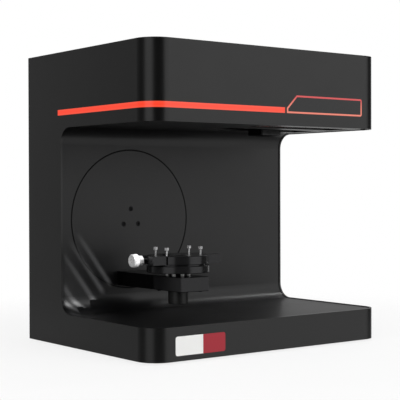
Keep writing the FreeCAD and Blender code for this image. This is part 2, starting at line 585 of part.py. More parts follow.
def arm_and_table():
    """The arm, its bearing block and motor, and the rotary table on its polished hub."""
    half = ARM_W / 2
    block_back = ARM_FRONT_Y + BLOCK_D
    arm = span_box((AXIS_AT_X - half, AXIS_AT_X + half), (block_back, WALL_Y), (ARM_Z, ARM_TOP))
    for x, z in ARM_SCREWS:
        arm = arm.cut(rod(V(AXIS_AT_X + x, WALL_Y, ARM_Z + ARM_H / 2 + z), -AXIS_Y, M4_R, ARM_SCREW_IN))
    PARTS["swing_arm"] = arm
    block = span_box((AXIS_AT_X - half, AXIS_AT_X + half), (ARM_FRONT_Y, block_back), (ARM_Z, ARM_TOP))
    block = block.makeChamfer(EDGE, block.Edges)
    seat_z = ARM_TOP - SPINDLE_BEARING_T - BEARING_SEAT
    block = block.cut(rod(TABLE_AT + AXIS_Z * ARM_Z, AXIS_Z, SPINDLE_R + 1, ARM_H))
    block = block.cut(rod(TABLE_AT + AXIS_Z * seat_z, AXIS_Z, SPINDLE_BEARING_R, ARM_TOP - seat_z))
    PARTS["table_block"] = block
    bearing_at = TABLE_AT + AXIS_Z * seat_z
    PARTS["table_bearing"] = tube(bearing_at, AXIS_Z, SPINDLE_BEARING_R, SPINDLE_R + RUN_FIT,
                                  SPINDLE_BEARING_T)
    motor = chamfered_rod(TABLE_AT + AXIS_Z * (ARM_Z - TABLE_MOTOR_H), AXIS_Z, TABLE_MOTOR_R,
                          TABLE_MOTOR_H, EDGE)
    motor_bore = TABLE_MOTOR_H / 2
    motor = motor.cut(rod(TABLE_AT + AXIS_Z * (ARM_Z - motor_bore), AXIS_Z, MOTOR_SHAFT_R + RUN_FIT,
                          motor_bore))
    PARTS["table_motor"] = motor
    block_screws = []
    for x, y in BLOCK_SCREWS:
        at = TABLE_AT + V(x, y, ARM_Z)
        block_screws.append(rod(at - AXIS_Z * M3_HEAD_H, AXIS_Z, M3_HEAD_R, M3_HEAD_H))
    PARTS["block_screws"] = group(block_screws)

    foot = ARM_Z - motor_bore + AIR
    spindle = rod(TABLE_AT + AXIS_Z * (ARM_TOP + AIR), AXIS_Z, HUB_R, HUB_H - AIR)
    spindle = spindle.fuse(rod(TABLE_AT + AXIS_Z * (ARM_Z + 1), AXIS_Z, SPINDLE_R, ARM_H + HUB_H - 1))
    spindle = spindle.fuse(rod(TABLE_AT + AXIS_Z * foot, AXIS_Z, MOTOR_SHAFT_R, PLATTER_Z - foot))
    PARTS["table_spindle"] = spindle.removeSplitter()
    platter = chamfered_rod(TABLE_AT + AXIS_Z * PLATTER_Z, AXIS_Z, PLATTER_R, PLATTER_T, EDGE)
    bolts = []
    body = clamp_body()
    for x, y in PLATTER_BOLTS:
        at = TABLE_AT + V(x, y, PLATTER_Z)
        seat = at + AXIS_Z * M3_HEAD_H
        platter = platter.cut(rod(at, AXIS_Z, M3_R, PLATTER_T)).cut(rod(at, AXIS_Z, M3_HEAD_R, M3_HEAD_H))
        bolts.append(screw(seat, AXIS_Z, M3_R, M3_HEAD_R, M3_HEAD_H, PLATTER_T - M3_HEAD_H + CLAMP_T / 2))
        body = body.cut(rod(at, AXIS_Z, M3_R, PLATTER_T + CLAMP_T / 2))
    PARTS["table_platter"] = platter
    PARTS["platter_bolts"] = group(bolts)
    PARTS["clamp_body"] = body


def along(side, near, far):
    """Two distances from the table's axis towards one side, as a (low, high) pair in X."""
    return tuple(sorted((AXIS_AT_X + side * near, AXIS_AT_X + side * far)))


def jaw_space(side, tail, bridge_tail, outer, inner):
    """The room that a jaw's two arms and bridge take up, cut down to the clamp's foot."""
    z = (JAW_Z, TABLE_Z + 1)
    room = span_box(along(side, bridge_tail, 2 * CLAMP_R), (TABLE_Y - outer, TABLE_Y + outer), z)
    for low, high in ((-outer, -inner), (inner, outer)):
        room = room.fuse(span_box(along(side, tail, bridge_tail), (TABLE_Y + low, TABLE_Y + high), z))
    return room


def clamp_body():
    body = chamfered_rod(TABLE_AT + AXIS_Z * JAW_Z, AXIS_Z, CLAMP_R, TABLE_Z - JAW_Z, EDGE)
    moving_tail = JAW_TAIL - JAW_CLOSE - AIR
    body = body.cut(jaw_space(-1, moving_tail, AXIS_AT_X - TONGUE_X, JAW_OUT + JAW_GAP, JAW_IN - AIR))
    body = body.cut(jaw_space(1, JAW_TAIL, JAW_BRIDGE[0], JAW_OUT + JAW_GAP, JAW_IN))
    body = body.fuse(rod(TABLE_AT + AXIS_Z * CLAMP_Z, AXIS_Z, CLAMP_STEP_R, CLAMP_STEP_H))
    bore_l = SCREW_TIP_X + JAW_CLOSE + AIR - TONGUE_X
    return body.cut(rod(V(TONGUE_X, TABLE_Y, SCREW_Z), AXIS_X, SCREW_R, bore_l))


def jaw(side, lift):
    """Two arms joined by a bridge; side is -1 for the left jaw and 1 for the right one."""
    z = (JAW_Z + lift, TABLE_Z)
    shape = span_box(along(side, *JAW_BRIDGE), (TABLE_Y - JAW_OUT, TABLE_Y + JAW_OUT), z)
    for low, high in ((-JAW_OUT, -JAW_IN), (JAW_IN, JAW_OUT)):
        shape = shape.fuse(span_box(along(side, JAW_TAIL, JAW_REACH), (TABLE_Y + low, TABLE_Y + high), z))
    for y in (-PIN_Y, PIN_Y):
        shape = shape.cut(rod(V(AXIS_AT_X + side * PIN_X, TABLE_Y + y, TABLE_Z), -AXIS_Z, PIN_R, PIN_STAND))
    return shape.removeSplitter()


def jaw_pins(side):
    pins = []
    for y in (-PIN_Y, PIN_Y):
        at = V(AXIS_AT_X + side * PIN_X, TABLE_Y + y, TABLE_Z + PIN_STAND)
        pins.append(screw(at, -AXIS_Z, PIN_R, PIN_HEAD_R, PIN_HEAD_H, 2 * PIN_STAND))
    return group(pins)


def clamp():
    """The fixed and the moving jaw with their pins, and the thumbscrew held in the moving one."""
    PARTS["fixed_jaw"] = jaw(1, 0)
    PARTS["fixed_jaw_pins"] = jaw_pins(1)
    boss_end = AXIS_AT_X - JAW_BRIDGE[1] - BOSS_L
    boss_at = V(boss_end, TABLE_Y, SCREW_Z)
    moving = jaw(-1, AIR).fuse(rod(boss_at, AXIS_X, BOSS_R, BOSS_L))
    moving = moving.cut(rod(boss_at, AXIS_X, SCREW_R, BOSS_L + JAW_BRIDGE[1] - JAW_BRIDGE[0]))
    PARTS["moving_jaw"] = moving.removeSplitter()
    PARTS["moving_jaw_pins"] = jaw_pins(-1)

    neck_x = boss_end - AIR
    knob_x = neck_x - KNOB_NECK_L - KNOB_L
    knob = chamfered_rod(V(knob_x, TABLE_Y, SCREW_Z), AXIS_X, KNOB_R, KNOB_L, EDGE)
    knob = knob.fuse(rod(V(knob_x + KNOB_L, TABLE_Y, SCREW_Z), AXIS_X, KNOB_NECK_R, KNOB_NECK_L))
    shank = rod(V(neck_x, TABLE_Y, SCREW_Z), AXIS_X, SCREW_R - RUN_FIT, SCREW_TIP_X - neck_x)
    PARTS["thumbscrew"] = knob.fuse(shank).removeSplitter()
    clip_at = V(AXIS_AT_X - JAW_BRIDGE[0] + AIR, TABLE_Y, SCREW_Z)
    PARTS["thumbscrew_clip"] = tube(clip_at, AXIS_X, CLIP_R, SCREW_R - RUN_FIT, CLIP_T)


def optical_unit(lens_at, lean, box_size, lens_r, lens_l, box_front):
    """A boxed unit and its lens, which looks down to the left at an angle from the vertical."""
    wide, deep, high = box_size
    box = Part.makeBox(wide, deep, high, V(-wide / 2, box_front - lens_at.y, lens_l))
    lens = rod(V(0, 0, 0), AXIS_Z, lens_r, lens_l).cut(rod(V(0, 0, 0), AXIS_Z, lens_r - LENS_RIM, LENS_DISH))
    for shape in (box, lens):
        shape.rotate(V(0, 0, 0), AXIS_Y, lean)
        shape.translate(lens_at)
    return box, lens


def optics():
    """Two cameras and a projector on an upright plate in the head, and the projector's hood."""
    deck = HEAD_UNDER + LINER_T
    PARTS["optics_plate"] = span_box(SLOT_X, (WEB_Y, WEB_Y + WEB_T), (deck, deck + WEB_H))

    def lens_at(place):
        return V(SLOT_X[0] + place[0], FRONT + place[1], HEAD_UNDER + LENS_RISE)

    camera = (CAMERA_LEAN, CAMERA_BOX, CAMERA_LENS_R, CAMERA_LENS_L)
    behind = WEB_Y + WEB_T
    front_box, front_lens = optical_unit(lens_at(FRONT_CAMERA_IN), *camera, WEB_Y - CAMERA_BOX[1])
    rear_box, rear_lens = optical_unit(lens_at(REAR_CAMERA_IN), *camera, behind)
    PARTS["front_camera"] = front_box
    PARTS["rear_camera"] = rear_box
    PARTS["camera_lenses"] = group([front_lens, rear_lens])
    PARTS["projector"], PARTS["projector_lens"] = optical_unit(
        lens_at(PROJECTOR_IN), PROJECTOR_LEAN, PROJECTOR_BOX, PROJECTOR_LENS_R, PROJECTOR_LENS_L, behind)
    low, high = HEAD_UNDER - HOOD_DROP, deck + HOOD_RISE
    corner = V(SLOT_X[0] + HOOD_IN[0], FRONT + HOOD_IN[1], low)
    hood = Part.makeBox(HOOD_W, HOOD_D, high - low, corner)
    inside = Part.makeBox(HOOD_W - 2 * HOOD_T, HOOD_D - 2 * HOOD_T, high - low, corner + V(HOOD_T, HOOD_T, 0))
    PARTS["projector_hood"] = hood.cut(inside)


def rear_panel():
    """The rear panel with its inlet, switch, data socket, fan and vent slots."""
    side = REAR_BEND_R + SEAM
    panel = span_box((LEFT + side, RIGHT - side), (PANEL_Y - REAR_PANEL_T, PANEL_Y),
                     (FLOOR_Z + FLOOR_T + SEAM, TOP_Z - LID_T - SEAM))
    cut_y = (PANEL_Y - REAR_PANEL_T - 1, PANEL_Y + 1)

    def window(x, z, wide, high):
        return span_box((x - wide / 2, x + wide / 2), cut_y, (FLOOR_Z + z - high / 2, FLOOR_Z + z + high / 2))

    for x, z, wide, high in ((INLET_X, INLET_Z, INLET_W, INLET_H), (SWITCH_X, SWITCH_Z, SWITCH_W, SWITCH_H),
                             (USB_X, USB_Z, USB_W, USB_H)):
        panel = panel.cut(window(x, z, wide - 2 * FLANGE_OVER, high - 2 * FLANGE_OVER))
    for side in (-1, 0, 1):
        for row in range(SLOT_ROWS):
            panel = panel.cut(window(side * (SLOT_L + SLOT_PITCH), SLOT_Z + row * SLOT_PITCH, SLOT_L, SLOT_H))
    reach = FAN_HOLE_R - FLANGE_OVER
    rows = int(reach / SLOT_PITCH)
    for row in range(-rows, rows + 1):
        half = math.sqrt(reach ** 2 - (row * SLOT_PITCH) ** 2)
        panel = panel.cut(window(FAN_X, FAN_Z + row * SLOT_PITCH, 2 * half, SLOT_H))
    screws = []
    for x, z in REAR_SCREWS:
        at = V(x, BACK, z)
        panel = panel.cut(rod(V(x, cut_y[0], z), AXIS_Y, M3_R, REAR_PANEL_T + 2))
        head = Part.makeCone(M3_HEAD_R, M3_R, M3_HEAD_H, at, -AXIS_Y)
        screws.append(head.fuse(rod(at, -AXIS_Y, M3_R, WALL + REAR_PANEL_T + 2)).removeSplitter())
        PARTS["outer_wrap"] = PARTS["outer_wrap"].cut(head)
    PARTS["rear_panel"] = panel
    PARTS["rear_panel_screws"] = group(screws)
    fittings()
    fan(V(FAN_X, PANEL_Y - REAR_PANEL_T - FAN_L, FLOOR_Z + FAN_Z))


def panel_fitting(x, z, wide, high, depth, flange_t):
    """A flange on the outside of the rear panel and a body through it."""
    at = V(x, PANEL_Y, FLOOR_Z + z)
    flange = middle_box(at, (wide, flange_t, high))
    body = middle_box(at - AXIS_Y * depth, (wide - 2 * FLANGE_OVER, depth, high - 2 * FLANGE_OVER))
    return flange.fuse(body).removeSplitter()


def fittings():
    """The power inlet, the data socket, and the switch with its rocker."""
    inlet = panel_fitting(INLET_X, INLET_Z, INLET_W, INLET_H, INLET_L, INLET_FLANGE_T)
    wide, high, deep = INLET_PIT
    pit_at = V(INLET_X, PANEL_Y + INLET_FLANGE_T - deep, FLOOR_Z + INLET_Z)
    inlet = inlet.cut(middle_box(pit_at, (wide, deep, high)))
    for x, z in BLADES:
        inlet = inlet.fuse(middle_box(pit_at + V(x, 0, z), BLADE))
    PARTS["power_inlet"] = inlet.removeSplitter()

    usb = panel_fitting(USB_X, USB_Z, USB_W, USB_H, USB_L, USB_FLANGE_T)
    wide, high, deep = USB_PIT
    pit_at = V(USB_X, PANEL_Y + USB_FLANGE_T - deep, FLOOR_Z + USB_Z)
    usb = usb.cut(middle_box(pit_at, (wide, deep, high)))
    PARTS["usb_socket"] = usb.fuse(middle_box(pit_at, USB_TONGUE)).removeSplitter()

    frame = panel_fitting(SWITCH_X, SWITCH_Z, SWITCH_W, SWITCH_H, SWITCH_L, SWITCH_FLANGE_T)
    pivot = V(SWITCH_X, PANEL_Y - ROCKER_IN, FLOOR_Z + SWITCH_Z)
    pit_deep = ROCKER_DEEP + 2 * ROCKER_ROOM
    pit = middle_box(pivot - AXIS_Y * pit_deep, (ROCKER_W + 2 * AIR, pit_deep + ROCKER_IN + SWITCH_FLANGE_T,
                                                 ROCKER_H + 2 * ROCKER_ROOM))
    stub_l = ROCKER_W + 2 * PIVOT_L
    stub_at = pivot - AXIS_X * stub_l / 2
    hole = rod(stub_at - AXIS_X * AIR, AXIS_X, PIVOT_R + RUN_FIT, stub_l + 2 * AIR)
    PARTS["switch_frame"] = frame.cut(pit).cut(hole)
    half = ROCKER_H / 2
    profile = [(-ROCKER_DEEP, 2 - half), (ROCKER_TIP, -half), (ROCKER_TIP, 2 - half), (ROCKER_DIP, 0),
               (ROCKER_TIP, half - 2), (ROCKER_TIP, half), (-ROCKER_DEEP, half - 2)]
    points = [pivot + V(-ROCKER_W / 2, y, z) for y, z in profile]
    rocker = Part.Face(Part.makePolygon(points + points[:1])).extrude(AXIS_X * ROCKER_W)
    rocker = rocker.fuse(rod(stub_at, AXIS_X, PIVOT_R, stub_l))
    rocker.rotate(pivot, AXIS_X, -ROCKER_THROW / 2)
    PARTS["switch_rocker"] = rocker.removeSplitter()


def fan(at):
    """The fan's frame with its spider and pin, and the rotor that turns on the pin."""
    frame = middle_box(at, (FAN_SIDE, FAN_L, FAN_SIDE)).cut(rod(at, AXIS_Y, FAN_HOLE_R, FAN_L))
    spider = [rod(at, AXIS_Y, FAN_HUB_R, FAN_SPIDER_T), rod(at, AXIS_Y, FAN_PIN_R, FAN_PIN_L)]
    for turn in (0, 60, 120):
        bar = middle_box(at, (2 * FAN_HOLE_R + 1, FAN_SPIDER_T, FAN_PIN_R * 2))
        bar.rotate(at, AXIS_Y, turn)
        spider.append(bar)
    PARTS["fan_frame"] = frame.fuse(spider).removeSplitter()
    hub_at = at + AXIS_Y * (FAN_SPIDER_T + AIR)
    rotor = rod(hub_at, AXIS_Y, FAN_HUB_R, FAN_ROTOR_L)
    middle = hub_at + V(FAN_HUB_R, FAN_ROTOR_L / 2, 0)
    for i in range(FAN_BLADES):
        blade = Part.makeBox(FAN_HOLE_R - FAN_HUB_R + 1, FAN_BLADE_T, FAN_BLADE_W,
                             middle - V(2, FAN_BLADE_T / 2, FAN_BLADE_W / 2))
        blade.rotate(middle, AXIS_X, FAN_BLADE_TURN)
        blade.rotate(hub_at, AXIS_Y, i * 360 / FAN_BLADES)
        rotor = rotor.fuse(blade)
    rotor = rotor.common(rod(hub_at, AXIS_Y, FAN_HOLE_R - 1, FAN_ROTOR_L))
    PARTS["fan_rotor"] = rotor.cut(rod(hub_at, AXIS_Y, FAN_PIN_R + RUN_FIT, FAN_PIN_L)).removeSplitter()


def electronics():
    """The power supply and the controller board in the base."""
    deck = FLOOR_Z + FLOOR_T
    PARTS["power_supply"] = Part.makeBox(SUPPLY_W, SUPPLY_D, SUPPLY_H,
                                         V(RIGHT - SUPPLY_SIDE - SUPPLY_W, FRONT + SUPPLY_FRONT, deck))
    under = deck + BOARD_STAND
    left, near = LEFT + BOARD_SIDE, FRONT + BOARD_FRONT
    board = Part.makeBox(BOARD_W, BOARD_D, BOARD_T, V(left, near, under))
    posts = []
    for x in (left + BOARD_HOLE_IN, left + BOARD_W - BOARD_HOLE_IN):
        for y in (near + BOARD_HOLE_IN, near + BOARD_D - BOARD_HOLE_IN):
            board = board.cut(rod(V(x, y, under), AXIS_Z, M3_R, BOARD_T))
            posts.append(tube(V(x, y, deck), AXIS_Z, BOARD_POST_R, M3_R, BOARD_STAND))
    top = under + BOARD_T
    for x, y, high in CHIPS:
        board = board.fuse(Part.makeBox(CHIP_SIDE, CHIP_SIDE, high, V(left + x, near + y, top)))
    PARTS["controller_board"] = board
    PARTS["board_posts"] = group(posts)


housing()
lights_and_label()
tilt_stage()
arm_and_table()
clamp()
optics()
rear_panel()
electronics()

os.makedirs("parts", exist_ok=True)
for name, shape in PARTS.items():
    if not shape.isValid() or shape.Volume <= 0:
        print("check", name, shape.isValid(), shape.Volume)
    shape.exportStep("parts/" + name + ".step")
print(len(PARTS), "pieces")
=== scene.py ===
# %% [markdown]
# # A desktop 3D scanner, dressed around its CAD frame
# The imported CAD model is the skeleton: every node already lies where the real piece lies. This
# lesson loads it, gives each node a finish, and adds the small turned and knurled pieces that
# plain solids can't show. Everything is in metres: X to the right, Y to the back, Z up.

# %% Load the frame
import math

import bpy
import numpy as np
from mathutils import Matrix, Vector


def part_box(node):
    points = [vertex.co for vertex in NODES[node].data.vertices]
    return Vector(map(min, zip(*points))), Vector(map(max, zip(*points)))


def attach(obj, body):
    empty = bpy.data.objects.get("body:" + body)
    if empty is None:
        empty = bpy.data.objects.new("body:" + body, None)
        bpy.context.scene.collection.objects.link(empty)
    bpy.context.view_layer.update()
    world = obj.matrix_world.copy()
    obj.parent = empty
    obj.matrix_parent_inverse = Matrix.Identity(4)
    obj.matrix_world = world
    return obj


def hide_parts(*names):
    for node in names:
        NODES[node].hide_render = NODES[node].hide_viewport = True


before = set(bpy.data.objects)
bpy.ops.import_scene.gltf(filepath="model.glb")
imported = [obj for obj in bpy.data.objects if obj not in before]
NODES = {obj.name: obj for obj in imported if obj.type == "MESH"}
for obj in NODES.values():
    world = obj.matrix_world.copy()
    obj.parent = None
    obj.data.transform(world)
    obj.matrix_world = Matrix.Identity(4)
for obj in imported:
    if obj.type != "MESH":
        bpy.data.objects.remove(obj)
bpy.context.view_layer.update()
MM = 0.001

# %% [markdown]
# ## Colours and shader nodes
# Blender works in linear light, while a given colour is an sRGB hex value. One function
# turns hex into linear. A second adds a shader node with its settings, values and links, so that
# a whole material reads as a short list, and small ones on top of it name what a node does.

# %% Colour and node helpers
def linear(code):
    """Each channel c of '#rrggbb' becomes ((c + 0.055) / 1.055) ** 2.4, or c / 12.92 when dark."""
    channels = np.array([int(code[i:i + 2], 16) for i in (1, 3, 5)]) / 255
    low, high = channels / 12.92, ((channels + 0.055) / 1.055) ** 2.4
    return (*np.where(channels <= 0.04045, low, high).tolist(), 1.0)


def add(tree, kind, settings=None, **inputs):
    """Adds a node; an input is a value, or the output socket of another node."""
    node = tree.nodes.new(kind)
    for key, value in (settings or {}).items():
        setattr(node, key, value)
    for key, value in inputs.items():
        number = key[2:] if key.startswith("in") else ""
        socket = node.inputs[int(number)] if number.isdigit() else node.inputs[key.replace("_", " ")]
        if isinstance(value, bpy.types.NodeSocket):
            tree.links.new(value, socket)
        else:
            socket.default_value = value
    return node


def times(tree, first, second):
    """The product of two numbers."""
    return add(tree, "ShaderNodeMath", {"operation": "MULTIPLY"}, in0=first, in1=second).outputs[0]


def spread(tree, value, low, high, start=0.0, end=1.0, **settings):
    """start + (end - start) * (value - low) / (high - low), kept between start and end."""
    return add(tree, "ShaderNodeMapRange", settings, in0=value, in1=low, in2=high, in3=start,
               in4=end).outputs[0]


def blend(tree, share, first, second, **settings):
    """The first colour where the share is 0, the second where it is 1."""
    return add(tree, "ShaderNodeMix", {"data_type": "RGBA", **settings}, in0=share, in6=first,
               in7=second).outputs[2]


def levels(tree, share, low, high, steps):
    """A grey ramp over a share from 0 to 1: steps are (value from low to high, level of light)."""
    ramp = add(tree, "ShaderNodeValToRGB", Fac=share)
    elements = ramp.color_ramp.elements
    while len(elements) < len(steps):
        elements.new(1.0)
    for element, (value, level) in zip(elements, steps):
        element.position = (value - low) / (high - low)
        element.color = (level, level, level, 1.0)
    return ramp.outputs[0]


print("#808080 is", round(linear("#808080")[0], 3), "in linear light")

# %% [markdown]
# ## What most finishes share
# A real surface is never quite even. Two effects are enough here: a fine bump for its grain, and
# a roughness that wanders slowly, so that a highlight isn't the same everywhere. Both read Object
# coordinates, which stay with a piece when it moves.

# %% Material, grain and wandering roughness
NOISE_LOW, NOISE_HIGH = 0.3, 0.7


def material(name, **values):
    """A Principled material; values are its sockets, with '_' for a space."""
    made = bpy.data.materials.new(name)
    made.use_nodes = True
    shader = made.node_tree.nodes["Principled BSDF"]
    for key, value in values.items():
        shader.inputs[key.replace("_", " ")].default_value = value
    return made, made.node_tree, shader


def grit(tree, shader, size, strength):
    """A bump of noise whose grains are size metres across and a quarter of that high."""
    place = add(tree, "ShaderNodeTexCoord").outputs["Object"]
    noise = add(tree, "ShaderNodeTexNoise", Vector=place, Scale=1 / size, Detail=2.0)
    bump = add(tree, "ShaderNodeBump", Height=noise.outputs[0], Strength=strength, Distance=size / 4)
    tree.links.new(bump.outputs[0], shader.inputs["Normal"])
    return place


def cloudy(tree, shader, place, size, low, high):
    """Roughness that wanders between low and high over patches of this size."""
    noise = add(tree, "ShaderNodeTexNoise", Vector=place, Scale=1 / size, Detail=4.0)
    rough = spread(tree, noise.outputs[0], NOISE_LOW, NOISE_HIGH, low, high)
    tree.links.new(rough, shader.inputs["Roughness"])


print("noise from", NOISE_LOW, "to", NOISE_HIGH, "spans the whole range of roughness")

# %% [markdown]
# ## Powder-coated sheet steel
# The casing, the liner and the tilting disc are bent and cut steel sheet with a baked satin black
# powder coat. The powder melts into a skin with a very fine orange peel, which turns a lamp into a
# broad soft glow. The wall's coat also has a weak clear skin, because it mirrors more at a flat
# angle. The real grains are about 0.3 mm across, too fine for this picture, so they are drawn at
# 0.9 mm and kept weak.

# %% Powder coat
POWDER_GRAIN, POWDER_RELIEF, POWDER_PATCH = 0.9 * MM, 0.10, 30 * MM


def powder_coat(name, code, low, high, skin, ior):
    """A weak bump, a roughness from low to high, and a clear skin of this weight."""
    made, tree, shader = material(name, Base_Color=linear(code), IOR=ior, Coat_Weight=skin,
                                  Coat_Roughness=0.22)
    place = grit(tree, shader, POWDER_GRAIN, POWDER_RELIEF)
    cloudy(tree, shader, place, POWDER_PATCH, low, high)
    return made


casing_coat = powder_coat("satin_powder_coat", "#080808", 0.28, 0.32, 0.0, 1.5)
wall_coat = powder_coat("smooth_powder_coat", "#080809", 0.45, 0.47, 0.15, 1.48)
print("coats:", casing_coat.name, "and", wall_coat.name)

# %% [markdown]
# ## Black anodised aluminium
# The arm, the rotary table and the clamp are machined aluminium with a black anodised skin. Light
# goes through the dyed oxide to the metal and back, so it has a metal's dark, coloured highlight:
# a high Metallic with a dark colour. Turned discs keep the fine rings of the lathe, about 0.1 mm
# apart, drawn here as 0.5 mm rings. The arm is cast, so it is a little rougher.

# %% Anodised metal
RING_PITCH = 0.5 * MM
CUT_GRAIN, CUT_DEPTH, CUT_RELIEF = 0.6 * MM, 0.05 * MM, 0.12


def anodised(name, code, roughness, centre=None, metal=0.8):
    """Rings repeat every pi / (10 * Scale), so Scale = 1 / (pi * pitch) makes that about a pitch."""
    made, tree, shader = material(name, Base_Color=linear(code), Metallic=metal, Roughness=roughness)
    place = add(tree, "ShaderNodeTexCoord").outputs["Object"]
    if centre is None:
        marks = add(tree, "ShaderNodeTexNoise", Vector=place, Scale=1 / CUT_GRAIN, Detail=2.0).outputs[0]
    else:
        moved = add(tree, "ShaderNodeMapping", Vector=place, Location=[-c for c in centre])
        marks = add(tree, "ShaderNodeTexWave", {"wave_type": "RINGS", "rings_direction": "Z"},
                    Vector=moved.outputs[0], Scale=1 / (math.pi * RING_PITCH), Detail=1.0).outputs["Fac"]
    bump = add(tree, "ShaderNodeBump", Height=marks, Strength=CUT_RELIEF, Distance=CUT_DEPTH)
    tree.links.new(bump.outputs[0], shader.inputs["Normal"])
    return made


platter_low, platter_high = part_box("table_platter")
TABLE_X = (platter_low[0] + platter_high[0]) / 2
TABLE_Y = (platter_low[1] + platter_high[1]) / 2
arm_metal = anodised("black_anodised_aluminium", "#323233", 0.22)
cast_metal = anodised("black_cast_aluminium", "#2c2c2d", 0.30, metal=1.0)
table_metal = anodised("turned_black_aluminium", "#39393a", 0.20, (TABLE_X, TABLE_Y, 0.0))
print("table axis", round(TABLE_X, 4), round(TABLE_Y, 4))

# %% [markdown]
# ## Bright metals and small hardware
# Pins, shafts and bearings are bright or ground steel: nearly a mirror, softened by fine turning
# marks. The knob and the bearing's screws are aluminium with a satin natural finish, which keeps
# some of its own colour, so they are only half metallic. Screws in the casing are black oxide.
# Zinc and plain aluminium are inside, but they still get their own look, because the casing is
# open at the vents.

# %% Steel, aluminium, zinc and oxide
def plain_metal(name, code, roughness, grain, strength, metal=1.0):
    """Grain as a bump, and a roughness that wanders by a fifth over patches of eight grains."""
    made, tree, shader = material(name, Base_Color=linear(code), Metallic=metal)
    place = grit(tree, shader, grain, strength)
    cloudy(tree, shader, place, 8 * grain, roughness * 0.8, roughness * 1.2)
    return made


polished_steel = plain_metal("polished_steel", "#d9d9dc", 0.12, 0.4 * MM, 0.05)
ground_steel = plain_metal("ground_steel", "#b9b9bc", 0.24, 0.3 * MM, 0.10)
bright_steel = plain_metal("bright_steel", "#dededf", 0.22, 0.3 * MM, 0.08)
bright_aluminium = plain_metal("bright_aluminium", "#d9d9d9", 0.30, 0.3 * MM, 0.10, metal=0.5)
bare_aluminium = plain_metal("machined_aluminium", "#c8c9cb", 0.32, 0.5 * MM, 0.12)
zinc_steel = plain_metal("zinc_plated_steel", "#a9abad", 0.36, 0.8 * MM, 0.12)
black_oxide = plain_metal("black_oxide_steel", "#222223", 0.38, 0.4 * MM, 0.10)
print("metals:", ", ".join(metal.name for metal in (polished_steel, ground_steel, bright_steel,
                                                    bright_aluminium, bare_aluminium, zinc_steel)))

# %% [markdown]
# ## Plastics, rubber, felt, labels and glass
# Moulded black plastic has a fine spark-eroded grain; rubber feet are matte and faintly grey; a
# near-black felt is painted shade for the dark gap around the disc; the labels are a printed film;
# lens fronts are coated glass. All but the glass are one kind of material with a different colour, gloss
# and grain.

# %% Moulded and soft finishes
def moulded(name, code, roughness, grain, strength):
    """A plastic, rubber, felt or film: one colour and one gloss, with a grain as a bump."""
    made, tree, shader = material(name, Base_Color=linear(code), Roughness=roughness, IOR=1.46)
    grit(tree, shader, grain, strength)
    return made


black_plastic = moulded("moulded_abs", "#121212", 0.42, 0.5 * MM, 0.15)
inlet_plastic = moulded("grey_moulded_abs", "#2a2a2b", 0.40, 0.5 * MM, 0.15)
foot_rubber = moulded("foot_rubber", "#191919", 0.75, 0.8 * MM, 0.30)
belt_rubber = moulded("belt_rubber", "#161616", 0.70, 0.6 * MM, 0.25)
# a near-black felt for the disc's gap, which is painted shade: it darkens the gap as shade would
gap_shade_felt = moulded("felt_light_seal", "#050505", 0.95, 0.4 * MM, 0.30)
badge_black = moulded("gloss_black_acrylic", "#0d0d0e", 0.16, 2.0 * MM, 0.01)
label_white = moulded("white_label_film", "#f6f6f4", 0.34, 0.6 * MM, 0.04)
label_red = moulded("red_label_film", "#a31a2b", 0.34, 0.6 * MM, 0.04)
lens_glass = material("coated_lens_glass", Base_Color=linear("#10131c"), Roughness=0.04, IOR=1.52,
                      Coat_Weight=1.0, Coat_Roughness=0.02)[0]
print("labels:", label_white.name, "and", label_red.name)

# %% [markdown]
# ## Circuit boards
# A board is copper tracks under a green solder mask, which looks lighter over the copper. A
# Voronoi pattern stands for the tracks: the distance to a cell's edge, cut off sharply, leaves
# thin lines about 2 mm apart.

# %% Circuit board
TRACK_GAP, TRACK_EDGES = 2.0 * MM, (0.06, 0.10)
circuit_board, board_tree, board_shader = material("solder_mask", Roughness=0.35)
board_place = add(board_tree, "ShaderNodeTexCoord").outputs["Object"]
tracks = add(board_tree, "ShaderNodeTexVoronoi", {"feature": "DISTANCE_TO_EDGE"}, Vector=board_place,
             Scale=1 / TRACK_GAP)
off_track = spread(board_tree, tracks.outputs[0], *TRACK_EDGES)
board_colour = blend(board_tree, off_track, linear("#2f6b41"), linear("#12401f"))
board_tree.links.new(board_colour, board_shader.inputs["Base Color"])
print(circuit_board.name, "with tracks", TRACK_GAP, "m apart")

# %% [markdown]
# ## The lit acrylic
# A strip of milky acrylic wraps the head, with LEDs behind it, and the badge has a thin outline of
# the same stuff. The strip glows a deep orange-red along its middle and paler at its edges. The
# outline is the other way round, paler at the middle of its height and redder above and below.
# The glow is an emission whose colour follows the square of the height, which goes from -1 at the
# low end to 1 at the high one.

# %% Lit acrylic
guide_low, guide_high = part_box("light_guide")
GLOW_BELOW, GLOW_ABOVE = 10 * MM, 12 * MM


def lit_acrylic(name, core, edge, low, high):
    """The colour is core + (edge - core) * h * h, where h goes from -1 at low to 1 at high."""
    made, tree, shader = material(name, Base_Color=linear("#5a120c"), Roughness=0.25)
    place = add(tree, "ShaderNodeTexCoord").outputs["Object"]
    height = add(tree, "ShaderNodeSeparateXYZ", Vector=place).outputs[2]
    across = spread(tree, height, low, high, -1.0, 1.0)
    glow = blend(tree, times(tree, across, across), linear(core), linear(edge))
    tree.links.new(glow, shader.inputs["Emission Color"])
    shader.inputs["Emission Strength"].default_value = 1.0
    return made


strip_glow = lit_acrylic("lit_strip_acrylic", "#f4442c", "#ee6248", guide_low[2], guide_high[2])
outline_glow = lit_acrylic("lit_outline_acrylic", "#e0806c", "#c44a4c", guide_low[2] - GLOW_BELOW,
                           guide_high[2] + GLOW_ABOVE)
print("strip from", round(guide_low[2], 4), "to", round(guide_high[2], 4), "m high")

# %% [markdown]
# ## Dressing the CAD nodes
# Each node keeps its mesh and gets one of the finishes above in its material slot. A list by
# finish is easy to check against the object: everything on a line looks alike.

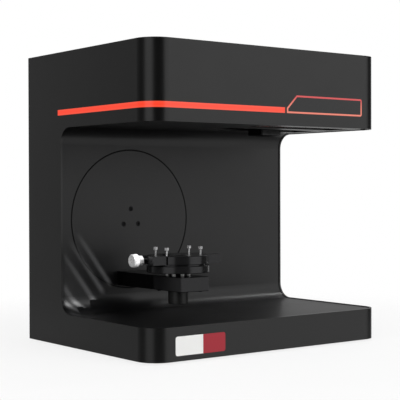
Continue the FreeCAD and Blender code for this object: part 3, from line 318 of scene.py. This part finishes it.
# %% Finish of each node
FINISHES = [
    (casing_coat, ["outer_wrap", "top_cover", "rear_panel", "floor_plate"]),
    (wall_coat, ["inner_liner", "tilt_disc"]),
    (badge_black, ["projector_hood", "badge_plate"]),
    (strip_glow, ["light_guide"]),
    (outline_glow, ["badge_light"]),
    (label_white, ["label_white"]),
    (label_red, ["label_red"]),
    (cast_metal, ["swing_arm"]),
    (table_metal, ["table_platter", "clamp_body"]),
    (arm_metal, ["table_block", "fixed_jaw", "moving_jaw", "projector", "front_camera", "rear_camera"]),
    (polished_steel, ["thumbscrew"]),
    (bright_steel, ["fixed_jaw_pins", "moving_jaw_pins"]),
    (ground_steel, ["tilt_shaft", "motor_shaft", "table_bearing", "tilt_bearings", "thumbscrew_clip",
                    "usb_socket"]),
    (black_oxide, ["table_spindle", "stage_screws", "block_screws", "case_screws", "rear_panel_screws",
                   "platter_bolts", "tilt_motor"]),
    (bare_aluminium, ["drive_plate", "bearing_housing", "optics_plate", "tilt_pulley", "motor_pulley",
                      "shaft_collar", "board_posts"]),
    (zinc_steel, ["column_posts", "corner_blocks", "power_supply"]),
    (lens_glass, ["camera_lenses", "projector_lens"]),
    (circuit_board, ["light_boards", "controller_board"]),
    (black_plastic, ["table_motor", "switch_rocker", "fan_frame", "fan_rotor"]),
    (inlet_plastic, ["power_inlet", "switch_frame"]),
    (foot_rubber, ["feet"]),
    (belt_rubber, ["drive_belt"]),
]


def dress(thing, finish):
    """Puts one finish in the material slot of an object."""
    thing.data.materials.clear()
    thing.data.materials.append(finish)


for finish, names in FINISHES:
    for name in names:
        dress(NODES[name], finish)
print("without a finish:", sorted(set(NODES) - {name for _, names in FINISHES for name in names}))

# %% [markdown]
# ## Turned hardware as skins of rings
# A turned piece is one closed skin: rings of points around an axis, each ring a step of the
# profile. The radius may change with the angle too, which gives knurls, threads and hex sockets.
# A lathe modifier can't do that, and whole arrays are quick to work out. All screws of a node go
# into one mesh.

# %% Points and faces from rings
def circle(count):
    """Angles around a full turn, count of them."""
    return np.linspace(0, 2 * math.pi, count, endpoint=False)


def rings(at, axis, heights, radii, turns):
    """at + axis * height + radius * (first * cos(turn) + second * sin(turn)), as (rows, columns, 3).

    The axis, first and second are unit vectors at right angles to each other.
    """
    axis = np.array(axis, float)
    first = np.cross(axis, (0, 0, 1) if abs(axis[2]) < 0.9 else (1, 0, 0))
    first /= np.linalg.norm(first)
    spoke = first * np.cos(turns)[:, None] + np.cross(axis, first) * np.sin(turns)[:, None]
    radii = np.broadcast_to(radii, (len(heights), len(turns)))
    return np.array(at) + axis * np.array(heights)[:, None, None] + radii[:, :, None] * spoke


def skin(loops):
    """Points and faces of a closed skin: quads join each ring to the next, fans close both ends."""
    rows, columns = loops.shape[:2]
    index = 1 + np.arange(rows * columns).reshape(rows, columns)
    after = np.roll(index, -1, axis=1)
    quads = np.stack([index[:-1], after[:-1], after[1:], index[1:]], axis=-1).reshape(-1, 4)
    start = np.stack([0 * index[0], after[0], index[0]], axis=-1)
    end = np.stack([index[-1], after[-1], 0 * index[-1] + rows * columns + 1], axis=-1)
    points = np.concatenate([[loops[0].mean(0)], loops.reshape(-1, 3), [loops[-1].mean(0)]])
    return points, start.tolist() + quads.tolist() + end.tolist()


def tube(loops):
    """Points and faces of a closed tube: the last ring of quads joins the first."""
    rows, columns = loops.shape[:2]
    index = np.arange(rows * columns).reshape(rows, columns)
    after, below = np.roll(index, -1, axis=1), np.roll(index, -1, axis=0)
    quads = np.stack([index, after, np.roll(after, -1, axis=0), below], axis=-1).reshape(-1, 4)
    return loops.reshape(-1, 3), quads.tolist()


print("first points of a ring:", circle(4).round(2))

# %% [markdown]
# ## From skins to pieces
# A new piece is an object that rides on the body it is fixed to, so that it moves with the joint.
# Where it stands in for a plain CAD node, the node is hidden. The CAD node also
# says where the new screws belong: a copy is cut into its loose solids and each one is measured.

# %% Pieces, and the solids of a node
SMOOTH_UP_TO = math.radians(35)
SAME_POINT = 0.01 * MM


def in_scene(name, data):
    """A new object with this mesh, lamp or camera data, linked to the scene."""
    made = bpy.data.objects.new(name, data)
    bpy.context.scene.collection.objects.link(made)
    return made


def piece(name, skins, finish, body, instead_of=()):
    """One object from several skins, shaded smooth up to 35 degrees, riding on a body."""
    points, faces, count = [], [], 0
    for skin_points, skin_faces in skins:
        points.append(skin_points)
        faces += [[corner + count for corner in face] for face in skin_faces]
        count += len(skin_points)
    mesh = bpy.data.meshes.new(name)
    mesh.from_pydata(np.concatenate(points).tolist(), [], faces)
    mesh.shade_smooth()
    mesh.set_sharp_from_angle(angle=SMOOTH_UP_TO)
    made = in_scene(name, mesh)
    dress(made, finish)
    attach(made, body)
    if instead_of:
        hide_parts(*instead_of)
    print(name, len(mesh.polygons), "faces")


def solids_of(node):
    """Low and high corners of each separate solid of a CAD node."""
    copy = in_scene("loose", NODES[node].data.copy())
    bpy.ops.object.select_all(action="DESELECT")
    copy.select_set(True)
    bpy.context.view_layer.objects.active = copy
    bpy.ops.object.mode_set(mode="EDIT")
    bpy.ops.mesh.select_all(action="SELECT")
    bpy.ops.mesh.remove_doubles(threshold=SAME_POINT)
    bpy.ops.mesh.separate(type="LOOSE")
    bpy.ops.object.mode_set(mode="OBJECT")
    boxes = []
    for part in list(bpy.context.selected_objects):
        corners = np.array([v.co for v in part.data.vertices])
        boxes.append((corners.min(0), corners.max(0)))
        bpy.data.objects.remove(part)
    return boxes


print("edges sharper than", round(math.degrees(SMOOTH_UP_TO)), "degrees stay sharp")

# %% [markdown]
# ## Cap screws
# A cap screw is turned from bar, knurled around its head for the fingers, chamfered, and then a
# hex socket is pressed into its top. The profile below walks up the shank, out to the head, over
# its chamfer and down the socket. On the clamp's pins every third point of the head lies a
# little lower, which is enough to show as knurls. One function makes a screw from its sizes, and
# another puts one wherever a CAD node has a plain one: first the clamp's pins, then the screws of
# the disc and the arm.

# %% Cap screw: knurled head, chamfer, hex socket
SOCKET_DEEP = 1.4 * MM
SCREW_POINTS = 72
HEAD_CHAMFER = 0.12


def hexagon(across, turns):
    """Distance to a hexagon's side: half its width / cos(angle from the side's middle)."""
    return across / 2 / np.cos((turns + math.pi / 6) % (math.pi / 3) - math.pi / 6)


def cap_screw(top, out, length, head_r, head_h, shank_r, across, knurl=0.0):
    """A screw whose head ends at top and points along out; across is its hex socket's width."""
    turns = circle(SCREW_POINTS)
    edge = HEAD_CHAMFER * head_r
    side = head_r * (1 - knurl * (np.arange(SCREW_POINTS) % 3 == 0))
    socket = hexagon(across, turns)
    steps = [(-length, shank_r), (-head_h, shank_r), (-head_h, side - edge), (-head_h + edge, side),
             (-edge, side), (0, side - edge), (0, socket), (-SOCKET_DEEP, socket)]
    heights = [height for height, _ in steps]
    radii = np.stack([radius + 0 * turns for _, radius in steps])
    return skin(rings(top, out, heights, radii, turns))


def turned_screws(node, body, finish, out, **sizes):
    """A cap screw for each solid of a node; out(low, high) is the way its head points."""
    made = []
    for low, high in solids_of(node):
        way = np.array(out(low, high), float)
        length = np.abs(way) @ (high - low)
        made.append(cap_screw((low + high) / 2 + way * length / 2, way, length, **sizes))
    piece(node + "_turned", made, finish, body, [node])


# %% The clamp's pins are bright M3 cap screws
PIN = {"head_r": 2.8 * MM, "head_h": 4.5 * MM, "shank_r": 1.4 * MM, "across": 2.5 * MM, "knurl": 0.05}
for node, body in (("fixed_jaw_pins", "turntable"), ("moving_jaw_pins", "moving_jaw")):
    turned_screws(node, body, bright_steel, lambda low, high: (0, 0, 1), **PIN)

# %% The disc's three screws, sunk in its face, and the arm's four, whose heads are behind it
M4 = {"head_r": 3.4 * MM, "head_h": 2.2 * MM, "shank_r": 2.0 * MM, "across": 3.0 * MM}
disc_low, disc_high = (np.array(corner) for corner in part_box("tilt_disc"))


def stage_screw_out(low, high):
    """Forwards where the screw ends at the disc's face, backwards elsewhere."""
    return (0, -1, 0) if abs(low[1] - disc_low[1]) < MM else (0, 1, 0)


turned_screws("stage_screws", "swing", black_oxide, stage_screw_out, **M4)

# %% [markdown]
# ## Painted shade in the disc's gap
# The disc turns in a round hole in the wall. A near-black felt ring in the gap is painted shade: it
# darkens the gap as shade would. It is cut from sheet: a flat ring with a rectangular section, just proud
# of the wall.
# A tube of four rings makes it, two at the outer radius and two at the inner one.

# %% Felt ring of painted shade around the disc
GAP_SHADE_IN, GAP_SHADE_OUT, GAP_SHADE_PROUD, GAP_SHADE_DEEP = 0.25 * MM, 1.9 * MM, 0.15 * MM, 1.6 * MM
DISC_R = (disc_high[0] - disc_low[0]) / 2
disc_middle = (disc_low + disc_high) / 2
gap_shade_at = (disc_middle[0], disc_low[1], disc_middle[2])
gap_shade_h = [-GAP_SHADE_DEEP, GAP_SHADE_PROUD, GAP_SHADE_PROUD, -GAP_SHADE_DEEP]
gap_shade_r = DISC_R + np.array([[GAP_SHADE_OUT], [GAP_SHADE_OUT], [GAP_SHADE_IN], [GAP_SHADE_IN]])
# this ring is painted shade: it darkens the gap around the disc
piece("disc_light_seal", [tube(rings(gap_shade_at, (0, -1, 0), gap_shade_h, gap_shade_r, circle(240)))], gap_shade_felt,
      "housing")

# %% [markdown]
# ## Projector's hood
# A thin moulded hood reaches down through the head's underside and shades the projector's lens.
# Its outline is a rectangle with rounded corners, carried straight down: four loops, outside and
# inside, at the bottom and the top, joined as a tube.

# %% Rounded tube under the projector
HOOD_X, HOOD_Y, HOOD_Z = (72.2 * MM, 108.5 * MM), (-44.0 * MM, -12.0 * MM), (293.0 * MM, 306.0 * MM)
HOOD_CORNER, HOOD_T, HOOD_ARC_POINTS = 2.0 * MM, 1.2 * MM, 8


def rounded_box(inset):
    """The hood's outline, moved in: a corner's point is its centre + radius * (cos t, sin t)."""
    radius = HOOD_CORNER - inset
    left, right = HOOD_X[0] + HOOD_CORNER, HOOD_X[1] - HOOD_CORNER
    near, far = HOOD_Y[0] + HOOD_CORNER, HOOD_Y[1] - HOOD_CORNER
    t = np.linspace(0, math.pi / 2, HOOD_ARC_POINTS) + np.radians([[0], [90], [180], [270]])
    centres = np.array([[right, far], [left, far], [left, near], [right, near]])
    return (centres[:, None] + radius * np.stack([np.cos(t), np.sin(t)], axis=-1)).reshape(-1, 2)


hood_section = [(0.0, HOOD_Z[0]), (0.0, HOOD_Z[1]), (HOOD_T, HOOD_Z[1]), (HOOD_T, HOOD_Z[0])]
hood_loops = [np.column_stack([rounded_box(inset), np.full(4 * HOOD_ARC_POINTS, z)])
              for inset, z in hood_section]
piece("projector_hood_rounded", [tube(np.stack(hood_loops))], badge_black, "housing", ["projector_hood"])

# %% [markdown]
# ## Rubber bumper
# A small rubber button sticks out under the head's front right corner. It is a turned shape: a
# short straight side, then a quarter of a wave that rounds it off to a flat end.

# %% Bumper under the head
BUMPER_AT = (171.0 * MM, -148.0 * MM, 301.0 * MM)
BUMPER_R, BUMPER_H, BUMPER_ROOT = 3.6 * MM, 2.4 * MM, 0.2 * MM
BUMPER_SIDE, BUMPER_END = 0.6, 0.7
bow = np.linspace(0, math.pi / 2, 6, endpoint=False)[1:]
bow_h = BUMPER_H * (BUMPER_SIDE + (1 - BUMPER_SIDE) * np.sin(bow))
bow_r = BUMPER_R * (BUMPER_END + (1 - BUMPER_END) * np.cos(bow))
bumper_h = np.concatenate([[-BUMPER_ROOT, BUMPER_SIDE * BUMPER_H], bow_h])
bumper_r = np.concatenate([[BUMPER_R, BUMPER_R], bow_r])[:, None]
piece("head_bumper", [skin(rings(BUMPER_AT, (0, 0, -1), bumper_h, bumper_r, circle(48)))], foot_rubber,
      "housing")

# %% [markdown]
# ## Casing screws
# Small black screws with low heads hold the lid, the floor plate and the rear panel. The lid's
# point up, the floor's point down and the rear panel's point back, each with its head outside.

# %% Screws of the lid, the floor plate and the rear panel
M3 = {"head_r": 2.8 * MM, "head_h": 1.7 * MM, "shank_r": 1.5 * MM, "across": 2.0 * MM}
LID_SCREWS_ABOVE = 0.35


def case_screw_out(low, high):
    """Up for the lid's screws, down for the floor plate's."""
    return (0, 0, 1) if high[2] > LID_SCREWS_ABOVE else (0, 0, -1)


turned_screws("case_screws", "housing", black_oxide, case_screw_out, **M3)
turned_screws("rear_panel_screws", "housing", black_oxide, lambda low, high: (0, 1, 0), **M3)

# %% [markdown]
# ## Screws around the table's bearing
# Eight small bright screws hold the rotary table's bearing to its block. They stand in a circle
# about the table's axis, in the gap under the platter, where they show as points of light.

# %% Ring of bearing screws
BEARING_SCREWS, BEARING_CIRCLE, BEARING_SCREW_L = 8, 15.0 * MM, 5.0 * MM
FIRST_SCREW_AT, TABLE_TURN = 22.5, math.radians(-36)
SMALL = {"head_r": 2.6 * MM, "head_h": 3.0 * MM, "shank_r": 1.4 * MM, "across": 2.4 * MM}
head_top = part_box("table_block")[1][2] + SMALL["head_h"]
spin = np.radians(FIRST_SCREW_AT + 360 / BEARING_SCREWS * np.arange(BEARING_SCREWS)) + TABLE_TURN
ring_x, ring_y = TABLE_X + BEARING_CIRCLE * np.sin(spin), TABLE_Y - BEARING_CIRCLE * np.cos(spin)
piece("bearing_screws", [cap_screw((x, y, head_top), (0, 0, 1), BEARING_SCREW_L, **SMALL)
                         for x, y in zip(ring_x, ring_y)], bright_aluminium, "swing")

# %% [markdown]
# ## Thumbscrew
# The clamp is closed by hand with a thumbscrew, turned from aluminium bar: a knurled head with a
# shallow dimple, a plain neck, and a shank with a thread of 1 mm pitch. The knurls are a triangle
# wave of the angle. In the thread the wave's phase also grows with the height, so that its crest
# winds along the shank.

# %% Profile of the thumbscrew
knob_low, knob_high = (np.array(corner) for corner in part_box("thumbscrew"))
KNOB_R = (knob_high[2] - knob_low[2]) / 2
KNOB_L, NECK_R, NECK_L, SHANK_R = 8.6 * MM, 6.5 * MM, 7.2 * MM, 2.95 * MM
KNURLS, KNURL_DEPTH, PITCH, THREAD_DEPTH = 40, 0.45 * MM, 1.0 * MM, 0.3 * MM
DIMPLE_R, DIMPLE_DEEP, NECK_CHAMFER = 4.2 * MM, 0.5 * MM, 0.5 * MM
KNOB_EDGE_L, KNOB_EDGE_R = 0.9 * MM, 1.1 * MM


def wave(phase):
    """A triangle wave between 1 and 0: 2 * |phase mod 1 - 1/2|."""
    return 2 * np.abs(phase % 1 - 0.5)


knob_turns = circle(6 * KNURLS)
knurled = KNOB_R - KNURL_DEPTH * wave(KNURLS * knob_turns / (2 * math.pi))
neck_end = KNOB_L + NECK_L
knob_end = knob_high[0] - knob_low[0]
knob_steps = [(DIMPLE_DEEP, DIMPLE_R), (0.0, DIMPLE_R + DIMPLE_DEEP), (0.0, KNOB_R - KNOB_EDGE_R),
              (KNOB_EDGE_L, knurled), (KNOB_L - KNOB_EDGE_L, knurled), (KNOB_L, KNOB_R - KNOB_EDGE_R),
              (KNOB_L, NECK_R), (neck_end - NECK_CHAMFER, NECK_R), (neck_end, NECK_R - NECK_CHAMFER),
              (neck_end, SHANK_R)]
print("thumbscrew", round(knob_end, 4), "m long")

# %% Thread and whole thumbscrew
thread_h = np.arange(0.5 * PITCH, knob_end - KNOB_L - NECK_L - 0.5 * PITCH, PITCH / 6)
thread_r = SHANK_R - THREAD_DEPTH * wave(thread_h[:, None] / PITCH - knob_turns[None] / (2 * math.pi))
knob_h = np.concatenate([[h for h, _ in knob_steps], neck_end + thread_h, [knob_end]])
knob_r = np.concatenate([np.stack([r + 0 * knob_turns for _, r in knob_steps]), thread_r,
                         np.full((1, len(knob_turns)), SHANK_R - THREAD_DEPTH)])
knob_at = (knob_low[0], (knob_low[1] + knob_high[1]) / 2, (knob_low[2] + knob_high[2]) / 2)
piece("knurled_thumbscrew", [skin(rings(knob_at, (1, 0, 0), knob_h, knob_r, knob_turns))],
      bright_aluminium, "thumbscrew", ["thumbscrew"])

# %% [markdown]
# ## Floor
# The scanner stands on a pale floor that can't be told from the white behind it, apart from a
# faint shadow. A film does that: near the object it is a thin veil of pale paint, which catches
# the shadow, and it fades to nothing before the floor's edge, where the white world shows.

# %% Floor film
FLOOR_R, VEIL_FROM, VEIL = 0.8, 0.35, 0.17
rim_turns = circle(96)
rim = np.stack([FLOOR_R * np.cos(rim_turns), FLOOR_R * np.sin(rim_turns), 0 * rim_turns], axis=1)
floor_mesh = bpy.data.meshes.new("floor")
floor_mesh.from_pydata(rim.tolist(), [], [list(range(len(rim)))])
floor = in_scene("floor", floor_mesh)
floor_paint, floor_tree, floor_shader = material("pale_floor_film", Base_Color=linear("#f4f4f4"),
                                                 Roughness=0.7)
floor_place = add(floor_tree, "ShaderNodeTexCoord").outputs["Object"]
from_middle = add(floor_tree, "ShaderNodeVectorMath", {"operation": "LENGTH"}, in0=floor_place)
veil = spread(floor_tree, from_middle.outputs["Value"], VEIL_FROM, FLOOR_R, VEIL, 0.0,
              interpolation_type="SMOOTHSTEP")
clear = add(floor_tree, "ShaderNodeBsdfTransparent")
film = add(floor_tree, "ShaderNodeMixShader", Fac=veil, in1=clear.outputs[0], in2=floor_shader.outputs[0])
floor_tree.links.new(film.outputs[0], floor_tree.nodes["Material Output"].inputs["Surface"])
dress(floor, floor_paint)
print("floor", 2 * FLOOR_R, "m across")

# %% [markdown]
# ## World
# A glossy black coat is only as visible as what it mirrors. So the camera sees plain white, and
# every other ray sees a studio: a bright panel to the front right, another to the left, dark gaps
# beside them and a half-lit wall behind. The panels' edges draw the edges of the casing, and
# under the horizon the same panels are dimmer. In an all-white room the black would turn grey,
# which is why only camera rays see the white. Nothing here is clear glass, and a camera ray that
# goes on through the floor's film is still a camera ray, so no other kind has to see the white.

# %% Bearing of a ray
world = bpy.data.worlds.new("studio")
bpy.context.scene.world = world
world.use_nodes = True
sky = world.node_tree
sky.nodes.clear()
path = add(sky, "ShaderNodeLightPath")
direction = add(sky, "ShaderNodeTexCoord").outputs["Generated"]
ray = add(sky, "ShaderNodeSeparateXYZ", Vector=direction)
# from -Y towards -X, so that 0 is the front, 90 the left and -90 the right
bearing = add(sky, "ShaderNodeMath", {"operation": "ARCTAN2"}, in0=times(sky, ray.outputs[0], -1.0),
              in1=times(sky, ray.outputs[1], -1.0)).outputs[0]
turn = spread(sky, bearing, -math.pi, math.pi)
print(world.name, "has", len(sky.nodes), "nodes so far")

# %% Panels: each step is a bearing in degrees and a level of light
ABOVE = [(-180, 0.40), (-112, 0.40), (-102, 0.05), (-64, 0.05), (-58, 0.95), (-12, 0.95),
         (-6, 0.03), (47, 0.03), (52, 0.93), (88, 0.93), (94, 0.08), (125, 0.08), (143, 0.26),
         (158, 0.22), (180, 0.40)]
BELOW = [(-180, 0.55), (-112, 0.55), (-102, 0.05), (-64, 0.05), (-58, 0.65), (-12, 0.65),
         (-6, 0.02), (47, 0.02), (52, 0.5), (88, 0.5), (94, 0.05), (125, 0.05), (143, 0.24),
         (158, 0.20), (168, 0.35), (180, 0.55)]
HORIZON, STUDIO_LIGHT = 0.03, 1.2
over = spread(sky, ray.outputs[2], -HORIZON, HORIZON)
room = blend(sky, over, levels(sky, turn, -180, 180, BELOW), levels(sky, turn, -180, 180, ABOVE))
lit_room = blend(sky, 1.0, room, (STUDIO_LIGHT, STUDIO_LIGHT, STUDIO_LIGHT, 1.0), blend_type="MULTIPLY")
seen = blend(sky, path.outputs["Is Camera Ray"], lit_room, (1.0, 1.0, 1.0, 1.0))
background = add(sky, "ShaderNodeBackground", Color=seen, Strength=1.0)
add(sky, "ShaderNodeOutputWorld", Surface=background.outputs[0])
print("panels:", len(ABOVE), "steps above the horizon,", len(BELOW), "below")

# %% [markdown]
# ## Lamps
# Three large soft lamps, overhead, in front and to the left, fill the object evenly. They aren't
# seen in reflections, because the world's panels are there for that. A small spark lamp, high on
# the right, is: it puts the fine bright lines on edges and screw heads.

# %% Soft lamps
OBJECT_MIDDLE = (0.0, 0.0, 0.2)


def soft_lamp(name, place, size, watts, in_mirrors=False):
    """A square lamp aimed at the object's middle."""
    data = bpy.data.lights.new(name, "AREA")
    data.shape, data.size, data.energy = "SQUARE", size, watts
    lamp = in_scene(name, data)
    lamp.location = place
    way = np.array(OBJECT_MIDDLE) - np.array(place)
    level = math.hypot(way[0], way[1])
    lamp.rotation_euler = (math.atan2(level, -way[2]), 0, math.atan2(-way[0], way[1]))
    lamp.visible_glossy = in_mirrors
    print(name, watts, "W")


soft_lamp("overhead_lamp", (0.2, -0.4, 2.6), 2.0, 18)
soft_lamp("front_lamp", (0.6, -2.6, 1.0), 1.6, 26)
soft_lamp("left_lamp", (-2.4, -0.8, 1.0), 1.4, 22)
soft_lamp("spark_lamp", (1.7, 0.0, 1.8), 0.12, 5.0, in_mirrors=True)

# %% [markdown]
# ## Light through slats
# Slanted streaks of light lie on the lower left of the back wall, as through a slatted screen.
# Real slats would need many thin boards and a lot of trial. Here a point lamp's emission works
# out where each ray will meet the wall, and looks up how bright that place should be: one ramp
# goes across the streaks, one along them, and one is a shutter that keeps them off the floor.

# %% Where the streaks lie: steps are millimetres from their middle and a level of light
SLAT_LAMP = np.array((0.10, -1.64, 1.28))
SLAT_WATTS, SLAT_LAMP_R = 1000, 3 * MM
WALL_AT = disc_low[1]
STREAKS_ABOUT = (-158 * MM, 108 * MM)
ACROSS, ALONG, SIDEWAYS = (0.807, 0.590), (0.690, -0.720), (1.0, 0.0)
SLAT_REACH = 100
SLATS = [(-100, 0), (-78, 0.1), (-70, 1), (-65, 0.1), (-60, 0.1), (-56, 1), (-52, 0.1), (-49, 0.1),
         (-44, 1), (-39, 0.1), (-22, 0.12), (-18, 1), (-14, 0.04), (-3, 0.04), (0.5, 1), (4, 0.04),
         (13, 0.04), (16, 1), (20, 0), (100, 0)]
SLAT_ENDS = [(-100, 0), (-48, 0), (-22, 0.5), (15, 0.9), (40, 1.0), (49, 0), (100, 0)]
SLAT_SHUTTER = [(-100, 0), (-36, 0), (-34, 1), (100, 1)]
print("streaks about", STREAKS_ABOUT, "on the wall at", round(float(WALL_AT), 4))

# %% Slatted lamp
slat_data = bpy.data.lights.new("slatted_lamp", "POINT")
slat_data.energy, slat_data.shadow_soft_size, slat_data.use_nodes = SLAT_WATTS, SLAT_LAMP_R, True
slat_tree = slat_data.node_tree
beam = add(slat_tree, "ShaderNodeTexCoord").outputs["Normal"]
depth = add(slat_tree, "ShaderNodeSeparateXYZ", Vector=beam).outputs[1]


def slat_light(way, steps):
    """The level at way . (lamp + beam * t - middle), with t = (wall - lamp) / depth along Y."""
    start = SLAT_LAMP[[0, 2]] - STREAKS_ABOUT
    rate = add(slat_tree, "ShaderNodeVectorMath", {"operation": "DOT_PRODUCT"}, in0=beam,
               in1=(way[0], 0, way[1]))
    slope = add(slat_tree, "ShaderNodeMath", {"operation": "DIVIDE"}, in0=rate.outputs["Value"],
                in1=depth)
    place = add(slat_tree, "ShaderNodeMath", {"operation": "MULTIPLY_ADD"}, in0=slope.outputs[0],
                in1=WALL_AT - SLAT_LAMP[1], in2=float(start @ way))
    share = spread(slat_tree, place.outputs[0], -SLAT_REACH * MM, SLAT_REACH * MM)
    return levels(slat_tree, share, -SLAT_REACH, SLAT_REACH, steps)


streaks = times(slat_tree, slat_light(ACROSS, SLATS), slat_light(ALONG, SLAT_ENDS))
streaks = times(slat_tree, streaks, slat_light(SIDEWAYS, SLAT_SHUTTER))
slat_tree.links.new(streaks, slat_tree.nodes["Emission"].inputs["Strength"])
in_scene("slatted_lamp", slat_data).location = SLAT_LAMP
print("slatted_lamp", SLAT_WATTS, "W before the slats")

# %% [markdown]
# ## Camera
# The camera stands where the photograph was taken from, far away with a long lens, so that
# upright edges stay nearly parallel. Its place and angles come from a camera fitted to the
# casing's outline. A camera looks along its own -Z, so its axes go into a matrix as columns:
# sideways, up, and backwards.

# %% Camera and view
CAMERA_AT, LENS = (-0.9770, -1.2815, 0.2206), 101.57
YAW, PITCH, ROLL = math.radians(37.142), math.radians(-0.725), math.radians(-0.154)
camera_data = bpy.data.cameras.new("camera")
camera_data.sensor_width = 36.0
camera_data.lens = LENS
camera = in_scene("camera", camera_data)
camera.location = CAMERA_AT
ahead = np.array([math.sin(YAW) * math.cos(PITCH), math.cos(YAW) * math.cos(PITCH), math.sin(PITCH)])
level_right = np.array([math.cos(YAW), -math.sin(YAW), 0.0])
level_up = np.cross(level_right, ahead)
right = math.cos(ROLL) * level_right + math.sin(ROLL) * level_up
up = -math.sin(ROLL) * level_right + math.cos(ROLL) * level_up
camera.rotation_euler = Matrix([[right[i], up[i], -ahead[i]] for i in range(3)]).to_euler()
bpy.context.scene.camera = camera
bpy.context.scene.view_settings.view_transform = "Standard"
print("camera at", CAMERA_AT, "with a", LENS, "mm lens")
